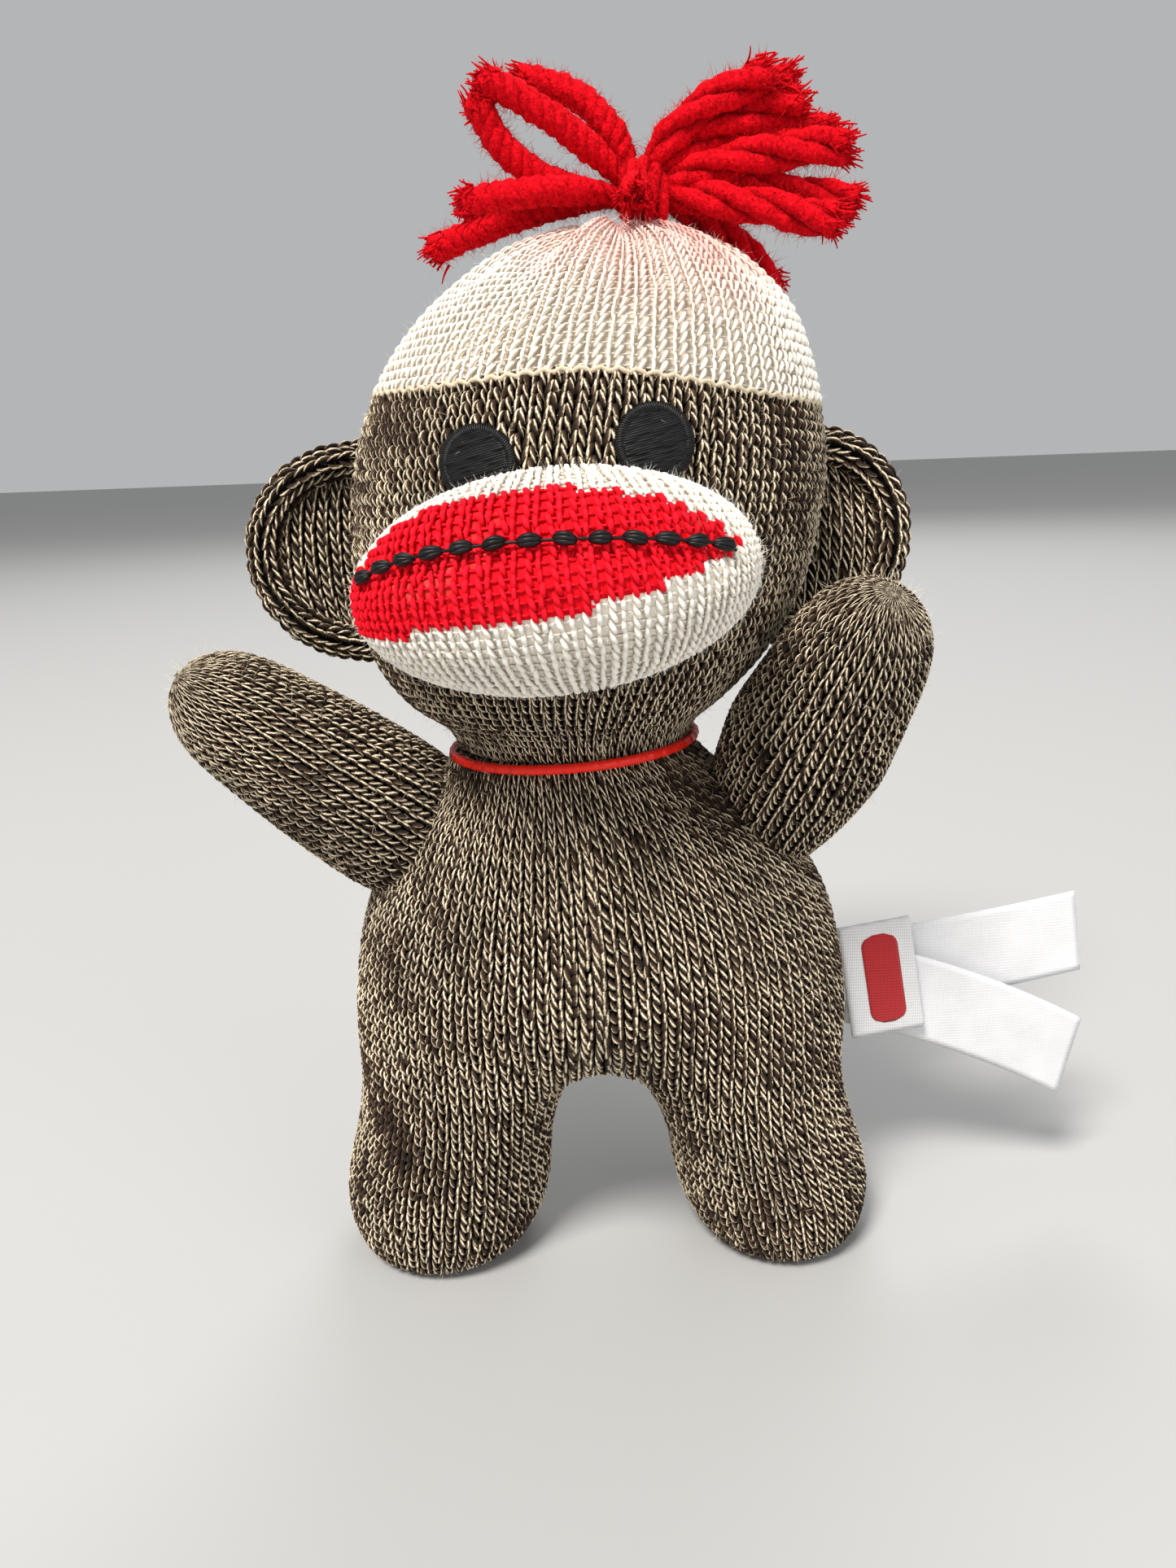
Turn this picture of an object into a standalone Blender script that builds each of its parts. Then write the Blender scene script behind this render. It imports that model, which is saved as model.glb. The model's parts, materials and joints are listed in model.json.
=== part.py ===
"""Sock monkey: knitted covers over stuffing, each piece a closed solid of its own.

Metres, +Z up, the face looks along -Y. The doll is modelled round its own body axis,
and the finished object is then centred over the origin, standing on its two soles.
"""

import math

import bmesh
import bpy
from mathutils import Matrix, Vector

MM = 0.001
GAP = 0.3  # clearance between pieces that touch, mm
WALL = 1.5  # thickness of a knitted cover, mm
SIDES = 24  # sides of a body cross-section
LIMB_SIDES = 14

# Sections are (height, half width, half depth, sideways centre), all in mm.
TORSO = (
    (31.5, 13.0, 13.0, 0.0),
    (34.5, 31.0, 23.0, 0.0),
    (39.5, 45.0, 28.0, 0.0),
    (46.5, 49.0, 30.0, 0.0),
    (59.5, 47.0, 31.0, 0.0),
    (72.5, 43.5, 29.5, 0.0),
    (85.5, 36.0, 27.0, -0.6),
    (94.5, 27.5, 24.5, -1.8),
    (100.2, 22.5, 22.5, -2.6),
)
HEAD = (
    (106.5, 22.5, 22.5, -3.0),
    (111.5, 30.0, 28.5, -3.4),
    (119.5, 36.0, 33.5, -2.4),
    (130.5, 39.8, 36.5, -0.4),
    (142.5, 41.0, 37.5, 1.2),
    (152.5, 40.8, 37.0, 2.4),
    (161.5, 38.4, 35.5, 3.7),
    (169.5, 35.4, 33.0, 5.0),
    (176.5, 30.6, 29.0, 6.4),
    (184.0, 20.8, 20.5, 7.6),
    (188.3, 10.5, 10.5, 8.6),
    (189.8, 3.0, 3.0, 9.2),
)
SEAM = Vector((3.7, 0.0, 161.5))  # middle of the seam between head and hat
SEAM_TILT = 3.0  # degrees, higher on the -X side

NECK = Vector((-2.7, 0.0, 103.5))
NECK_BALL, NECK_STEM, NECK_FOOT = 13.0, 9.0, 88.5
CORD_RING, CORD_RADIUS, CORD_HEIGHT = 22.4, 0.8, 101.3

# A leg is a stack of (height, radius) round a line from the sole to the hip.
HIP_HEIGHT, HIP_RADIUS = 36.5, 19.2
LEG = ((0.0, 12.0), (1.2, 15.2), (4.0, 18.4), (9.0, 20.6), (15.0, 21.2), (23.0, 20.8), (31.0, 19.9))
HIP = {"left": -26.5, "right": 27.5}
SOLE = {"left": (-33.0, -4.0), "right": (35.5, -4.0)}
LEG_SWING = (10, -20, -50)

# An arm is a stack of (distance, radius) along the line from shoulder to hand.
ARM = ((0.0, 13.8), (8.0, 14.2), (20.0, 13.5), (32.0, 12.2), (42.0, 10.8), (48.0, 8.8), (52.0, 5.2), (53.8, 1.5))
SHOULDER = {"left": Vector((-33.0, 0.0, 84.5)), "right": Vector((33.5, 0.0, 85.5))}
HAND = {"left": Vector((-63.0, -16.0, 113.5)), "right": Vector((48.6, -33.0, 131.0))}
ARM_SIZE = {"left": 1.0, "right": 1.07}  # the raised arm is stretched a little
ARM_SWING = {"left": (-55, -26, 4), "right": (65, 31, -3)}

# The face is laid out on the muzzle: across, out from the head, and up.
MUZZLE_AT = Vector((-4.4, -36.0, 134.2))
MUZZLE_SIZE = Vector((31.8, 19.5, 17.0))
MUZZLE_TURN, MUZZLE_ROLL = -6.0, -3.0
LIP_THICK = 0.9
LIP_TIPS, LIP_TOP, LIP_BOTTOM = (-30.2, 27.8), 12.9, -3.6
THREAD, THREAD_LINK, STITCHES = 0.62, 0.35, 13
EYES = {"left": (-15.2, 152.7), "right": (12.6, 154.3)}
EYE_RADIUS, EYE_THICK = 5.7, 1.2

EAR = {"left": (-39.2, -62.0), "right": (40.6, 61.0)}  # hinge line and outermost point
EAR_DEPTH, EAR_HEIGHT, EAR_HALF_HEIGHT, EAR_HALF_THICK = 6.0, 137.0, 20.0, 4.2
EAR_FOLD = (-15, 0, 15)

KNOT, KNOT_RADIUS = Vector((11.9, 0.0, 194.1)), 4.2
YARN_ROOT, YARN_RADIUS = 1.0, 2.3
# Free ends: the bend and the tip of each, from the knot, in mm.
YARN = {
    "left": (
        ((-9, -5, 15), (-25, -7, 20)),
        ((-6, 1, 15.5), (-18, 1, 21)),
        ((-14, 0, 8), (-26, 0, 12.5)),
        ((-15, -6, 3.5), (-29, -8, 1.5)),
        ((-15, 4, 2), (-35.5, 7, -7.5)),
    ),
    "right": (
        ((6, -5, 14), (17.5, -7, 18)),
        ((8, 3, 15), (27, 3, 18.5)),
        ((12, -3, 11), (27.5, -5, 12.5)),
        ((13, 6, 9.5), (34, 6, 11.5)),
        ((14, -7, 5.5), (34, -10, 5)),
        ((18, 2, 3), (38, 2, -1.5)),
        ((12, -8, -1), (32, -12, -7)),
        ((13, 8, 1), (26, 18, -13)),
    ),
}
FRONT_END = ((-1, -8, 1.5), (-1.5, -14.5, -2.6))
TUFT_PIVOT = {"left": 10.9, "right": 12.9}

SEAM_SIDE = Vector((49.6, 0.0, 49.0))  # where the labels leave the side seam
BRAND_SIZE, BRAND_THICK = (14.5, 24.0), 1.0
CARE_LENGTH, CARE_WIDTH, CARE_THICK = 48.0, 17.5, 0.5
CARE_LEAN = {"front": -13.0, "back": 8.0}  # degrees above level

MARL, WHITE, RED = (0.20, 0.15, 0.12), (0.86, 0.83, 0.78), (0.75, 0.02, 0.03)
BLACK, SATIN, FILL = (0.02, 0.02, 0.02), (0.88, 0.88, 0.90), (0.93, 0.93, 0.92)


def material(name, colour, roughness):
    made = bpy.data.materials.new(name)
    made.use_nodes = True
    shader = made.node_tree.nodes["Principled BSDF"]
    shader.inputs["Base Color"].default_value = (*colour, 1.0)
    shader.inputs["Roughness"].default_value = roughness
    shader.inputs["Metallic"].default_value = 0.0
    return made


def object_from(name, mesh_bm, colour=FILL, roughness=0.9):
    """A named object from a bmesh in millimetres, shaded smooth, with its own material."""
    bmesh.ops.recalc_face_normals(mesh_bm, faces=mesh_bm.faces)
    bmesh.ops.scale(mesh_bm, vec=(MM, MM, MM), verts=mesh_bm.verts)
    mesh = bpy.data.meshes.new(name)
    mesh_bm.to_mesh(mesh)
    mesh_bm.free()
    mesh.shade_smooth()
    mesh.set_sharp_from_angle(angle=math.radians(50))
    made = bpy.data.objects.new(name, mesh)
    made.data.materials.append(material(name, colour, roughness))
    bpy.context.scene.collection.objects.link(made)
    return made


def cutter(name, mesh_bm):
    made = object_from(name, mesh_bm)
    made.hide_render = True
    made.display_type = "WIRE"
    return made


def boolean(target, operation, *others):
    for other in others:
        modifier = target.modifiers.new(f"{operation.lower()} {other.name}", "BOOLEAN")
        modifier.operation = operation
        modifier.object = other


def skin(rings):
    """A closed bmesh through rings of equal length, its ends filled."""
    made = bmesh.new()
    loops = [[made.verts.new(point) for point in ring] for ring in rings]
    for low, high in zip(loops, loops[1:]):
        for i, corner in enumerate(low):
            j = (i + 1) % len(low)
            made.faces.new((corner, low[j], high[j], high[i]))
    made.faces.new(loops[0][::-1])
    made.faces.new(loops[-1])
    return made


def body_form(sections, offset=0.0, below=0.0, above=0.0):
    """A stack of ellipses grown by offset, with straight ends added below and above."""
    rings = []
    for height, wide, deep, middle in sections:
        turns = [math.tau * k / SIDES for k in range(SIDES)]
        rings.append([
            Vector((middle + (wide + offset) * math.cos(a), (deep + offset) * math.sin(a), height))
            for a in turns
        ])
    if below:
        rings.insert(0, [point - Vector((0, 0, below)) for point in rings[0]])
    if above:
        rings.append([point + Vector((0, 0, above)) for point in rings[-1]])
    return skin(rings)


def turned(rows, start, direction, sides=LIMB_SIDES):
    """A solid of revolution: (distance, radius) rows along a direction from start."""
    across = direction.orthogonal().normalized()
    up = direction.cross(across)
    return skin([
        [
            start + direction * along + (across * math.cos(a) + up * math.sin(a)) * radius
            for a in (math.tau * k / sides for k in range(sides))
        ]
        for along, radius in rows
    ])


def ball_rows(radius, low=-1.0, high=1.0, count=8):
    """(distance, radius) rows of a ball between two shares of its radius."""
    start, end = math.asin(low), math.asin(high)
    turns = [start + (end - start) * k / count for k in range(count + 1)]
    return [(radius * math.sin(a), max(radius * math.cos(a), 0.4)) for a in turns]


def leg_form(side, offset=0.0):
    """A standing leg: a flat sole, a plump foot and a ball at the hip."""
    foot = Vector((*SOLE[side], 0.0))
    hip = Vector((HIP[side], 0.0, HIP_HEIGHT))
    rows = [(max(height, -offset), radius + offset) for height, radius in LEG]
    rows += [(HIP_HEIGHT + along, r) for along, r in ball_rows(HIP_RADIUS + offset, low=0.0, count=5)]
    rings = []
    for height, radius in rows:
        middle = foot.lerp(hip, min(height / HIP_HEIGHT, 1.0))
        rings.append([
            Vector((middle.x + radius * math.cos(a), middle.y + radius * math.sin(a), height))
            for a in (math.tau * k / LIMB_SIDES for k in range(LIMB_SIDES))
        ])
    return skin(rings)


def arm_form(side, offset=0.0):
    """An arm with a ball at the shoulder and a rounded hand."""
    direction = (HAND[side] - SHOULDER[side]).normalized()
    rows = [(along * ARM_SIZE[side], radius * ARM_SIZE[side]) for along, radius in ARM]
    root = ball_rows(rows[0][1] + offset, high=0.0, count=5)[:-1]
    body = [(along, max(radius + offset, 0.6)) for along, radius in rows]
    if offset < 0:
        body = [(along, radius) for along, radius in body if along < rows[-1][0] + offset * 1.5]
    return turned(root + body, SHOULDER[side], direction)


def swept(form, pivot, axis, degrees):
    """The convex hull of a form turned about an axis through each of some angles."""
    points = [vert.co.copy() for vert in form.verts]
    form.free()
    made = bmesh.new()
    for angle in degrees:
        turn = Matrix.Rotation(math.radians(angle), 3, axis)
        for point in points:
            made.verts.new(pivot + turn @ (point - pivot))
    hull = bmesh.ops.convex_hull(made, input=made.verts)
    loose = {v for v in hull["geom_interior"] + hull["geom_unused"] if isinstance(v, bmesh.types.BMVert)}
    bmesh.ops.delete(made, geom=list(loose), context="VERTS")
    return made


def block(middle, size, turn=None):
    made = bmesh.new()
    place = Matrix.Translation(middle) @ (turn or Matrix()).to_4x4() @ Matrix.Diagonal((*size, 1.0))
    bmesh.ops.create_cube(made, size=1.0, matrix=place)
    return made


def side_sign(side):
    return -1 if side == "left" else 1


def build_legs():
    sweeps = []
    for side in HIP:
        cover = object_from(f"{side}_leg_cover", leg_form(side), MARL)
        hollow = cutter(f"{side}_leg_hollow", leg_form(side, -WALL))
        mouth_rows = [(0.0, 9.0), (12.0, 9.0)]
        top = Vector((HIP[side], 0.0, HIP_HEIGHT + HIP_RADIUS - 6.0))
        mouth = cutter(f"{side}_leg_mouth", turned(mouth_rows, top, Vector((0, 0, 1))))
        boolean(cover, "DIFFERENCE", hollow, mouth)
        object_from(f"{side}_leg_stuffing", leg_form(side, -WALL - GAP))
        pivot = Vector((HIP[side], 0.0, HIP_HEIGHT))
        sweeps.append(cutter(f"{side}_leg_sweep", swept(leg_form(side, 0.5), pivot, "X", LEG_SWING)))
        hang_from(f"{side}_hip", pivot, f"{side}_leg_cover", f"{side}_leg_stuffing")
    return sweeps


def build_arms():
    sweeps = []
    for side, pivot in SHOULDER.items():
        direction = (HAND[side] - pivot).normalized()
        cover = object_from(f"{side}_arm_cover", arm_form(side), MARL)
        hollow = cutter(f"{side}_arm_hollow", arm_form(side, -WALL))
        mouth_rows = [(0.0, 7.0), (10.0, 7.0)]
        mouth = cutter(f"{side}_arm_mouth", turned(mouth_rows, pivot - direction * 17, direction))
        boolean(cover, "DIFFERENCE", hollow, mouth)
        object_from(f"{side}_arm_stuffing", arm_form(side, -WALL - GAP))
        swing = swept(arm_form(side, 0.5), pivot, "Y", ARM_SWING[side])
        sweeps.append(cutter(f"{side}_arm_sweep", swing))
        hang_from(f"{side}_shoulder", pivot, f"{side}_arm_cover", f"{side}_arm_stuffing")
    return sweeps


def build_torso(sweeps):
    """The torso is cut clear of everything that turns in it: limbs and neck."""
    cover = object_from("torso_cover", body_form(TORSO), MARL)
    hollow = cutter("torso_hollow", body_form(TORSO, -WALL, above=5.0))
    stuffing = object_from("torso_stuffing", body_form(TORSO, -WALL - GAP))
    well_rows = [(NECK_FOOT - GAP - NECK.z, NECK_STEM + 0.5), (-11.0, NECK_STEM + 0.5)]
    well_rows += [(a, r) for a, r in ball_rows(NECK_BALL + 0.5, low=-0.6) if a > -8.0]
    well = cutter("neck_well", turned(well_rows, NECK, Vector((0, 0, 1)), SIDES))
    boolean(cover, "DIFFERENCE", hollow, *sweeps)
    boolean(stuffing, "DIFFERENCE", well, *sweeps)


def build_neck():
    rows = [(NECK_FOOT - NECK.z, NECK_STEM), (-9.4, NECK_STEM)]
    rows += [(a, r) for a, r in ball_rows(NECK_BALL, low=-0.69)][1:]
    object_from("neck_stuffing", turned(rows, NECK, Vector((0, 0, 1)), SIDES))
    ring = bmesh.new()
    turns = 32
    loops = []
    for k in range(turns):
        a = math.tau * k / turns
        out = Vector((math.cos(a), math.sin(a), 0.0))
        middle = Vector((NECK.x, NECK.y, CORD_HEIGHT)) + out * CORD_RING
        tube = [math.tau * j / 6 for j in range(6)]
        loops.append([
            ring.verts.new(middle + out * CORD_RADIUS * math.cos(b) + Vector((0, 0, CORD_RADIUS * math.sin(b))))
            for b in tube
        ])
    for k, loop in enumerate(loops):
        beyond = loops[(k + 1) % turns]
        for j in range(6):
            ring.faces.new((loop[j], loop[(j + 1) % 6], beyond[(j + 1) % 6], beyond[j]))
    object_from("neck_cord", ring, RED, 0.35)
    hang_from("neck", NECK, "neck_stuffing")


def build_head():
    """Head cover and hat share one form, parted along the tilted seam."""
    tilt = Matrix.Rotation(math.radians(SEAM_TILT), 3, "Y")
    up = tilt @ Vector((0, 0, 1))
    half = 60.0
    hollow = cutter("head_hollow", body_form(HEAD[:-1], -WALL, below=6.0))
    above = cutter("above_seam", block(SEAM + up * (half - GAP / 2), (160, 160, 2 * half), tilt))
    below = cutter("below_seam", block(SEAM - up * (half - GAP / 2), (160, 160, 2 * half), tilt))
    cover = object_from("head_cover", body_form(HEAD), MARL)
    boolean(cover, "DIFFERENCE", hollow, above)
    hat = object_from("hat_crown", body_form(HEAD), WHITE)
    boolean(hat, "DIFFERENCE", hollow, below)
    stuffing = object_from("head_stuffing", body_form(HEAD[:-1], -WALL - GAP))
    socket = cutter("neck_socket", turned(ball_rows(NECK_BALL + 0.5), NECK, Vector((0, 0, 1)), SIDES))
    boolean(stuffing, "DIFFERENCE", socket)


def muzzle_place():
    turn = Matrix.Rotation(math.radians(MUZZLE_TURN), 4, "Z")
    roll = Matrix.Rotation(math.radians(MUZZLE_ROLL), 4, "Y")
    return Matrix.Translation(MUZZLE_AT) @ turn @ roll


def muzzle_form(offset=0.0):
    made = bmesh.new()
    place = muzzle_place() @ Matrix.Diagonal((*(MUZZLE_SIZE + Vector((offset,) * 3)), 1.0))
    bmesh.ops.create_uvsphere(made, u_segments=24, v_segments=12, radius=1.0, matrix=place)
    return made


def on_muzzle(across, up, offset):
    """The point on the muzzle's front, grown by offset, at a place across and up."""
    size = MUZZLE_SIZE + Vector((offset,) * 3)
    rest = 1.0 - (across / size.x) ** 2 - (up / size.z) ** 2
    return muzzle_place() @ Vector((across, -size.y * math.sqrt(max(rest, 0.0)), up))


def lip_edges(share):
    """Heights of the lips' lower and upper edge at a share of their width."""
    bow = math.sin(math.pi * share ** 0.85) ** 0.65
    return LIP_BOTTOM + 5.8 * share ** 3.5, 1.0 + 1.4 * share + LIP_TOP * bow


def mouth_height(share):
    """Height of the line of back stitches, which climbs fast on the left."""
    return 2.1 + 5.4 * math.sin(math.pi * share ** 0.75) ** 0.6


def build_muzzle():
    face = cutter("face_clearance", body_form(HEAD, GAP))
    cover = object_from("muzzle_cover", muzzle_form(), WHITE)
    boolean(cover, "DIFFERENCE", cutter("muzzle_hollow", muzzle_form(-WALL)), face)
    boolean(object_from("muzzle_stuffing", muzzle_form(-WALL - GAP)), "DIFFERENCE", face)

    left, right = LIP_TIPS
    shares = [k / 20 for k in range(21)]
    low = [(left + (right - left) * s, lip_edges(s)[0]) for s in shares]
    high = [(left + (right - left) * s, lip_edges(s)[1]) for s in shares[-2:0:-1]]
    ends = [[muzzle_place() @ Vector((x, depth, z)) for x, z in low + high] for depth in (-40.0, -2.0)]
    lips = object_from("lip_panel", muzzle_form(GAP + LIP_THICK), RED, 0.85)
    boolean(lips, "INTERSECT", cutter("lip_outline", skin(ends)))
    boolean(lips, "DIFFERENCE", cutter("lip_back", muzzle_form(GAP)), face)
    build_mouth()
    return face


def build_mouth():
    """One thread: thick where a back stitch lies, thin where it dips into the lips."""
    left, right = LIP_TIPS
    per_stitch = 3
    steps = STITCHES * per_stitch
    offset = 2 * GAP + LIP_THICK + THREAD
    points = []
    for k in range(steps + 1):
        share = 0.03 + 0.94 * k / steps
        points.append(on_muzzle(left + (right - left) * share, mouth_height(share), offset))
    rings = []
    for k, point in enumerate(points):
        along = (points[min(k + 1, steps)] - points[max(k - 1, 0)]).normalized()
        across = along.cross(Vector((0, 0, 1))).normalized()
        up = across.cross(along)
        radius = THREAD_LINK if k % per_stitch == 0 else THREAD
        turns = [math.tau * j / 5 for j in range(5)]
        rings.append([point + (across * math.cos(a) + up * math.sin(a)) * radius for a in turns])
    object_from("mouth_stitching", skin(rings), BLACK, 0.45)


def build_eyes(face):
    """Raised discs that follow the face and stop at the muzzle."""
    muzzle = cutter("muzzle_clearance", muzzle_form(GAP))
    for side, (across, height) in EYES.items():
        rows = [(0.0, EYE_RADIUS), (30.0, EYE_RADIUS)]
        start = Vector((across * 0.55, -20.0, height))
        toward = (Vector((across, -35.0, height)) - start).normalized()
        disc = cutter(f"{side}_eye_disc", turned(rows, start, toward, 24))
        eye = object_from(f"{side}_eye", body_form(HEAD, GAP + EYE_THICK), BLACK, 0.4)
        boolean(eye, "INTERSECT", disc)
        boolean(eye, "DIFFERENCE", face, muzzle)


def build_ears():
    """Cupped ears, cut clear of the head wherever they fold."""
    for side, (hinge, outer) in EAR.items():
        sign = side_sign(side)
        pivot = Vector((hinge, EAR_DEPTH, EAR_HEIGHT))
        reach = abs(outer - hinge)
        ear_bm = bmesh.new()
        size = Matrix.Diagonal((reach, EAR_HALF_THICK, EAR_HALF_HEIGHT, 1.0))
        bmesh.ops.create_uvsphere(
            ear_bm, u_segments=20, v_segments=12, radius=1.0, matrix=Matrix.Translation(pivot) @ size)
        ear = object_from(f"{side}_ear", ear_bm, MARL)
        cup_bm = bmesh.new()
        cup_at = pivot + Vector((sign * reach * 0.42, -EAR_HALF_THICK * 1.35, 0.0))
        cup_size = Matrix.Diagonal((reach * 0.46, EAR_HALF_THICK * 1.1, EAR_HALF_HEIGHT * 0.66, 1.0))
        bmesh.ops.create_uvsphere(
            cup_bm, u_segments=16, v_segments=10, radius=1.0, matrix=Matrix.Translation(cup_at) @ cup_size)
        boolean(ear, "DIFFERENCE", cutter(f"{side}_ear_cup", cup_bm))
        for angle in EAR_FOLD:
            turn = Matrix.Rotation(math.radians(angle), 3, "Z")
            head_bm = body_form(HEAD, 2 * GAP)
            bmesh.ops.rotate(head_bm, cent=pivot, matrix=turn, verts=head_bm.verts)
            boolean(ear, "DIFFERENCE", cutter(f"{side}_ear_clear_{angle}", head_bm))
        inner = block(pivot - Vector((sign * 30.0, 0, 0)), (60, 60, 80))
        boolean(ear, "DIFFERENCE", cutter(f"{side}_ear_inner", inner))
        hang_from(f"{side}_ear_root", pivot, f"{side}_ear")


def yarn_end(name, root, bend, tip):
    """A free end of yarn as a tapered tube on a quadratic curve."""
    curve = bpy.data.curves.new(name, "CURVE")
    curve.dimensions = "3D"
    curve.bevel_depth = YARN_RADIUS * MM
    curve.bevel_resolution = 1
    curve.use_fill_caps = True
    spline = curve.splines.new("POLY")
    steps = 9
    spline.points.add(steps)
    for k, point in enumerate(spline.points):
        t = k / steps
        place = root * (1 - t) ** 2 + bend * 2 * t * (1 - t) + tip * t * t
        thin = YARN_ROOT / YARN_RADIUS
        point.co = (*(place * MM), 1.0)
        point.radius = min(thin + (1 - thin) * t * 1.7, 1.0)
    made = bpy.data.objects.new(name, curve)
    made.data.materials.append(material(name, RED, 0.95))
    bpy.context.scene.collection.objects.link(made)


def build_tassel():
    knot = bmesh.new()
    size = Matrix.Diagonal((KNOT_RADIUS, KNOT_RADIUS, KNOT_RADIUS * 0.82, 1.0))
    bmesh.ops.create_uvsphere(
        knot, u_segments=14, v_segments=8, radius=1.0, matrix=Matrix.Translation(KNOT) @ size)
    object_from("tassel_knot", knot, RED, 0.95)
    number = 0
    for side, ends in YARN.items():
        names = []
        for bend, tip in ends:
            number += 1
            names.append(f"yarn_end_{number:02d}")
            out = Vector(bend).normalized() * (KNOT_RADIUS + YARN_ROOT + GAP)
            yarn_end(names[-1], KNOT + out, KNOT + Vector(bend), KNOT + Vector(tip))
        hang_from(f"{side}_tuft_root", Vector((TUFT_PIVOT[side], 0.0, KNOT.z)), *names)
    bend, tip = FRONT_END
    out = Vector(bend).normalized() * (KNOT_RADIUS + YARN_ROOT + GAP)
    yarn_end(f"yarn_end_{number + 1:02d}", KNOT + out, KNOT + Vector(bend), KNOT + Vector(tip))


def build_labels():
    """The folded woven label and two satin tails, all sewn into one side seam."""
    width, height = BRAND_SIZE
    gap = 0.5
    middle = SEAM_SIDE + Vector((width / 2, 0.0, 0.0))
    brand = block(middle, (width, BRAND_THICK, height))
    bmesh.ops.bevel(
        brand, geom=[e for e in brand.edges if abs(e.verts[0].co.z - e.verts[1].co.z) > 1],
        offset=0.35, segments=2, affect="EDGES")
    object_from("brand_label", brand, RED, 0.7)
    depth = BRAND_THICK / 2
    for name, lean in CARE_LEAN.items():
        depth += gap + CARE_THICK / 2
        turn = math.radians(lean)
        along = Vector((math.cos(turn), 0.0, math.sin(turn)))
        across = Vector((-math.sin(turn), 0.0, math.cos(turn))) * CARE_WIDTH / 2
        steps = 8
        rings = []
        for k in range(steps + 1):
            share = k / steps
            drop = -9.0 * share ** 2 if name == "front" else 0.0
            at = SEAM_SIDE + along * (CARE_LENGTH * share + 1.5) + Vector((0, depth + 3.0 * share ** 2, drop))
            thick = Vector((0, CARE_THICK / 2, 0))
            rings.append([at - across - thick, at + across - thick, at + across + thick, at - across + thick])
        object_from(f"care_label_{name}", skin(rings), SATIN, 0.35)
        depth += CARE_THICK / 2 + 3.0 * gap
    hang_from("label_root", SEAM_SIDE, "brand_label", "care_label_front", "care_label_back")


def hang_from(name, pivot, *nodes):
    """Parents nodes to an empty that stands at their joint."""
    empty = bpy.data.objects.new(name, None)
    empty.empty_display_size = 8 * MM
    empty.location = pivot * MM
    bpy.context.scene.collection.objects.link(empty)
    for node in nodes:
        piece = bpy.data.objects[node]
        piece.parent = empty
        piece.matrix_parent_inverse = Matrix.Translation(-pivot * MM)


def hang_head():
    nodes = ["head_cover", "head_stuffing", "hat_crown", "muzzle_cover", "muzzle_stuffing", "lip_panel"]
    nodes += ["mouth_stitching", "left_eye", "right_eye", "tassel_knot"]
    nodes += [f"yarn_end_{1 + sum(map(len, YARN.values())):02d}"]
    hang_from("head_nod", NECK, *nodes)


def centre_on_floor():
    """Moves everything so that the whole object's box is centred over the origin."""
    bpy.context.view_layer.update()
    graph = bpy.context.evaluated_depsgraph_get()
    low, high = Vector((1e9,) * 3), Vector((-1e9,) * 3)
    for piece in bpy.context.scene.objects:
        if piece.type == "EMPTY" or piece.hide_render:
            continue
        shape = piece.evaluated_get(graph)
        mesh = shape.to_mesh()
        for vert in mesh.vertices:
            at = piece.matrix_world @ vert.co
            low = Vector(map(min, low, at))
            high = Vector(map(max, high, at))
        shape.to_mesh_clear()
    shift = Vector((-(low.x + high.x) / 2, -(low.y + high.y) / 2, -low.z))
    for piece in bpy.context.scene.objects:
        if piece.parent is None:
            piece.location += shift


def main():
    for old in list(bpy.data.objects):
        bpy.data.objects.remove(old)
    sweeps = build_legs() + build_arms()
    build_torso(sweeps)
    build_neck()
    build_head()
    face = build_muzzle()
    build_eyes(face)
    build_ears()
    build_tassel()
    build_labels()
    hang_head()
    centre_on_floor()


main()
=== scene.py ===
"""Looks of the sock monkey: knitted covers, yarn tassel, embroidered face and sewn labels.

Lengths are millimetres in the doll's own coordinates, from the middle of the soles, and
Piece.build() places them in the row frame. Every knitted cover is a lattice of stitches:
columns are wales, counted anticlockwise round the form, and rows are courses.
"""
import json
import math

import bpy
import numpy as np
from mathutils import Matrix, Vector


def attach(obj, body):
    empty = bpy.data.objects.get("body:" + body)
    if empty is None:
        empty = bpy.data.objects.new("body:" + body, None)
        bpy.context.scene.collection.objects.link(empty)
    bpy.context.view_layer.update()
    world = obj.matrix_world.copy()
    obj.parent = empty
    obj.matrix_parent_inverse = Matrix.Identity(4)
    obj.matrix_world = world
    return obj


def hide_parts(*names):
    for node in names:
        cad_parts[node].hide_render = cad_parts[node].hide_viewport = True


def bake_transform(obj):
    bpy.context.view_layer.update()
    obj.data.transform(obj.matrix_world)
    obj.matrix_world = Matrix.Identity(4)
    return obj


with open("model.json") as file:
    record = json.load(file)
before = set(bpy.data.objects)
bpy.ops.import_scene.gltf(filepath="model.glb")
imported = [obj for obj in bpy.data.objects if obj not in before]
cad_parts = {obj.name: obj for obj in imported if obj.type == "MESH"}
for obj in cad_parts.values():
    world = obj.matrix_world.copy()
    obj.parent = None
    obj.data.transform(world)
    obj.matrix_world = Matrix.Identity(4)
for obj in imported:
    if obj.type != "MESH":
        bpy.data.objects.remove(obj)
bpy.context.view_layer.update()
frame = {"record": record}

TAU = math.tau
MM = 0.001

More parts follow.
